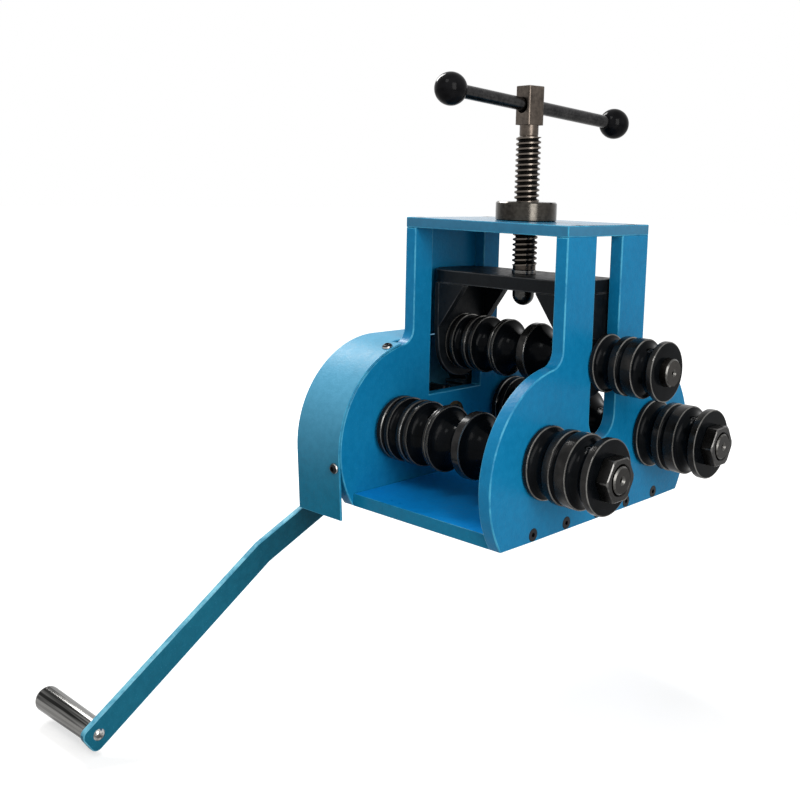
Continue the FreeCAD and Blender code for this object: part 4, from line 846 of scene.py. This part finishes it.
arm_length = 437
grip_place = (0, -arm_length * math.cos(math.radians(arm_lean)),
              axle_up - arm_length * math.sin(math.radians(arm_lean)))
grip_polish = polished("grip_polish", (0.01, 0.0099, 0.0095), (0.22, 0.217, 0.21))
spindle_polish = polished("spindle_polish", (0.12, 0.119, 0.116), (0.6, 0.59, 0.57))
arm_face, rivet_out, rivet_high = -163.5, 5.4, 2.6
rivet_radius = (rivet_out ** 2 + rivet_high ** 2) / (2 * rivet_high)
spindle_line = [(-249.5, 0), (-249.5, 5.5), (-249, 6), (-169.5, 6), (-169.5, 4), (arm_face, 4)]
for step in range(9):
    angle = math.asin(rivet_out / rivet_radius) * (1 - step / 8)
    spindle_line.append((arm_face + rivet_high - rivet_radius + rivet_radius * math.cos(angle),
                         rivet_radius * math.sin(angle)))
spindle = turned("spindle.turned", spindle_line, grip_place, sides=48)
settle(spindle, "crank", "polished_steel", spindle_polish, "grip_bolt")
sleeve_line = [(-250, 0), (-250, 6.05), (-170.5, 6.05), (-170, 6.6), (-170, 10), (-170.5, 10.5)]
sleeve_line += [(-254.5 - 5 * math.sin(math.radians(angle)), 6.75 + 5 * math.cos(math.radians(angle)))
                for angle in range(0, 91, 10)]
sleeve_line.append((-259.5, 0))
settle(turned("grip.turned", sleeve_line, grip_place), "grip", "polished_steel", grip_polish, "grip")


# Studio: a pale floor below the crank, a softbox high at the left, a larger one at the right and a weak
# one in front, in a white room, with the camera at the photograph's viewing angle.
def rays(finish):
    """1 where the camera looks, where a reflection does, and through glass."""
    return [finish.node("ShaderNodeLightPath", out="Is %s Ray" % kind)
            for kind in ("Camera", "Glossy", "Transmission")]


floor_coat = Finish("pale_floor")
to_eye, to_metal, to_glass = rays(floor_coat)
away = floor_coat.node("ShaderNodeVectorMath", {"operation": "LENGTH"}, {0: floor_coat.spot}, out="Value")
far = floor_coat.between(away, 0.5, 1.3)
pale = floor_coat.shade(floor_coat.cloud(0.4, detail=2.0), (0.48, 0.48, 0.48), (0.52, 0.52, 0.52))
matt = floor_coat.node("ShaderNodeBsdfDiffuse", {}, {"Color": pale})
glow = (to_eye + to_glass) * (far * 0.3 + 0.6) + to_metal * (far * 0.3 + 0.2)
white_glow = floor_coat.shade(glow, (0, 0, 0), (1, 1, 1))
lift = floor_coat.node("ShaderNodeEmission", {}, {"Color": white_glow, "Strength": 1.0})
both = floor_coat.node("ShaderNodeAddShader", {}, {0: matt, 1: lift})
floor_coat.node("ShaderNodeOutputMaterial", {}, {"Surface": both})
bpy.ops.object.select_all(action="DESELECT")
bpy.ops.mesh.primitive_plane_add(size=30, location=(0, 0, -0.196))
floor = bpy.context.active_object
floor.name = "floor"
bpy.ops.object.transform_apply(location=True, rotation=True, scale=True)
floor.data.materials.append(floor_coat.home)

sky = Finish("studio", bpy.data.worlds.new("studio"))
to_eye, to_metal, to_glass = rays(sky)
room = sky.node("ShaderNodeBackground", {}, {"Color": (1, 0.99, 0.97, 1), "Strength": 0.45})
white = sky.node("ShaderNodeBackground", {}, {"Color": (1, 1, 1, 1), "Strength": 1.0})
either = sky.node("ShaderNodeMixShader", {}, {0: to_eye + to_metal + to_glass, 1: room, 2: white})
sky.node("ShaderNodeOutputWorld", {}, {"Surface": either})
bpy.context.scene.world = sky.home

for name, place, aim, wide, tall, power, colour in (
        ("softbox_left", (-1.5, 0.25, 1.45), (0, 0, 0.1), 0.5, 1.0, 42, (1, 0.99, 0.97)),
        ("softbox_right", (1.6, -0.75, 0.75), (0, 0, 0.15), 0.8, 1.5, 28, (1, 0.99, 0.97)),
        ("softbox_front", (0.15, -1.3, 1.75), (0, 0, 0.1), 0.5, 0.6, 8, (1, 1, 1))):
    lamp = bpy.data.lights.new(name, "AREA")
    lamp.shape = "RECTANGLE"
    lamp.size = wide
    lamp.size_y = tall
    lamp.energy = power
    lamp.color = colour
    box = bpy.data.objects.new(name, lamp)
    bpy.context.scene.collection.objects.link(box)
    box.location = place
    box.rotation_euler = (Vector(place) - Vector(aim)).to_track_quat("Z", "Y").to_euler()

camera = bpy.data.cameras.new("camera")
camera.sensor_width = 36
camera.lens = 47.59
camera.shift_x = -0.0722
camera.shift_y = -0.0838
eye = bpy.data.objects.new("camera", camera)
bpy.context.scene.collection.objects.link(eye)
eye.location = (0.63328, -0.80110, 0.30349)
eye.rotation_euler = (math.radians(82.064), math.radians(-1.575), math.radians(42.039))
bpy.context.scene.camera = eye
bpy.context.scene.view_settings.view_transform = "Standard"
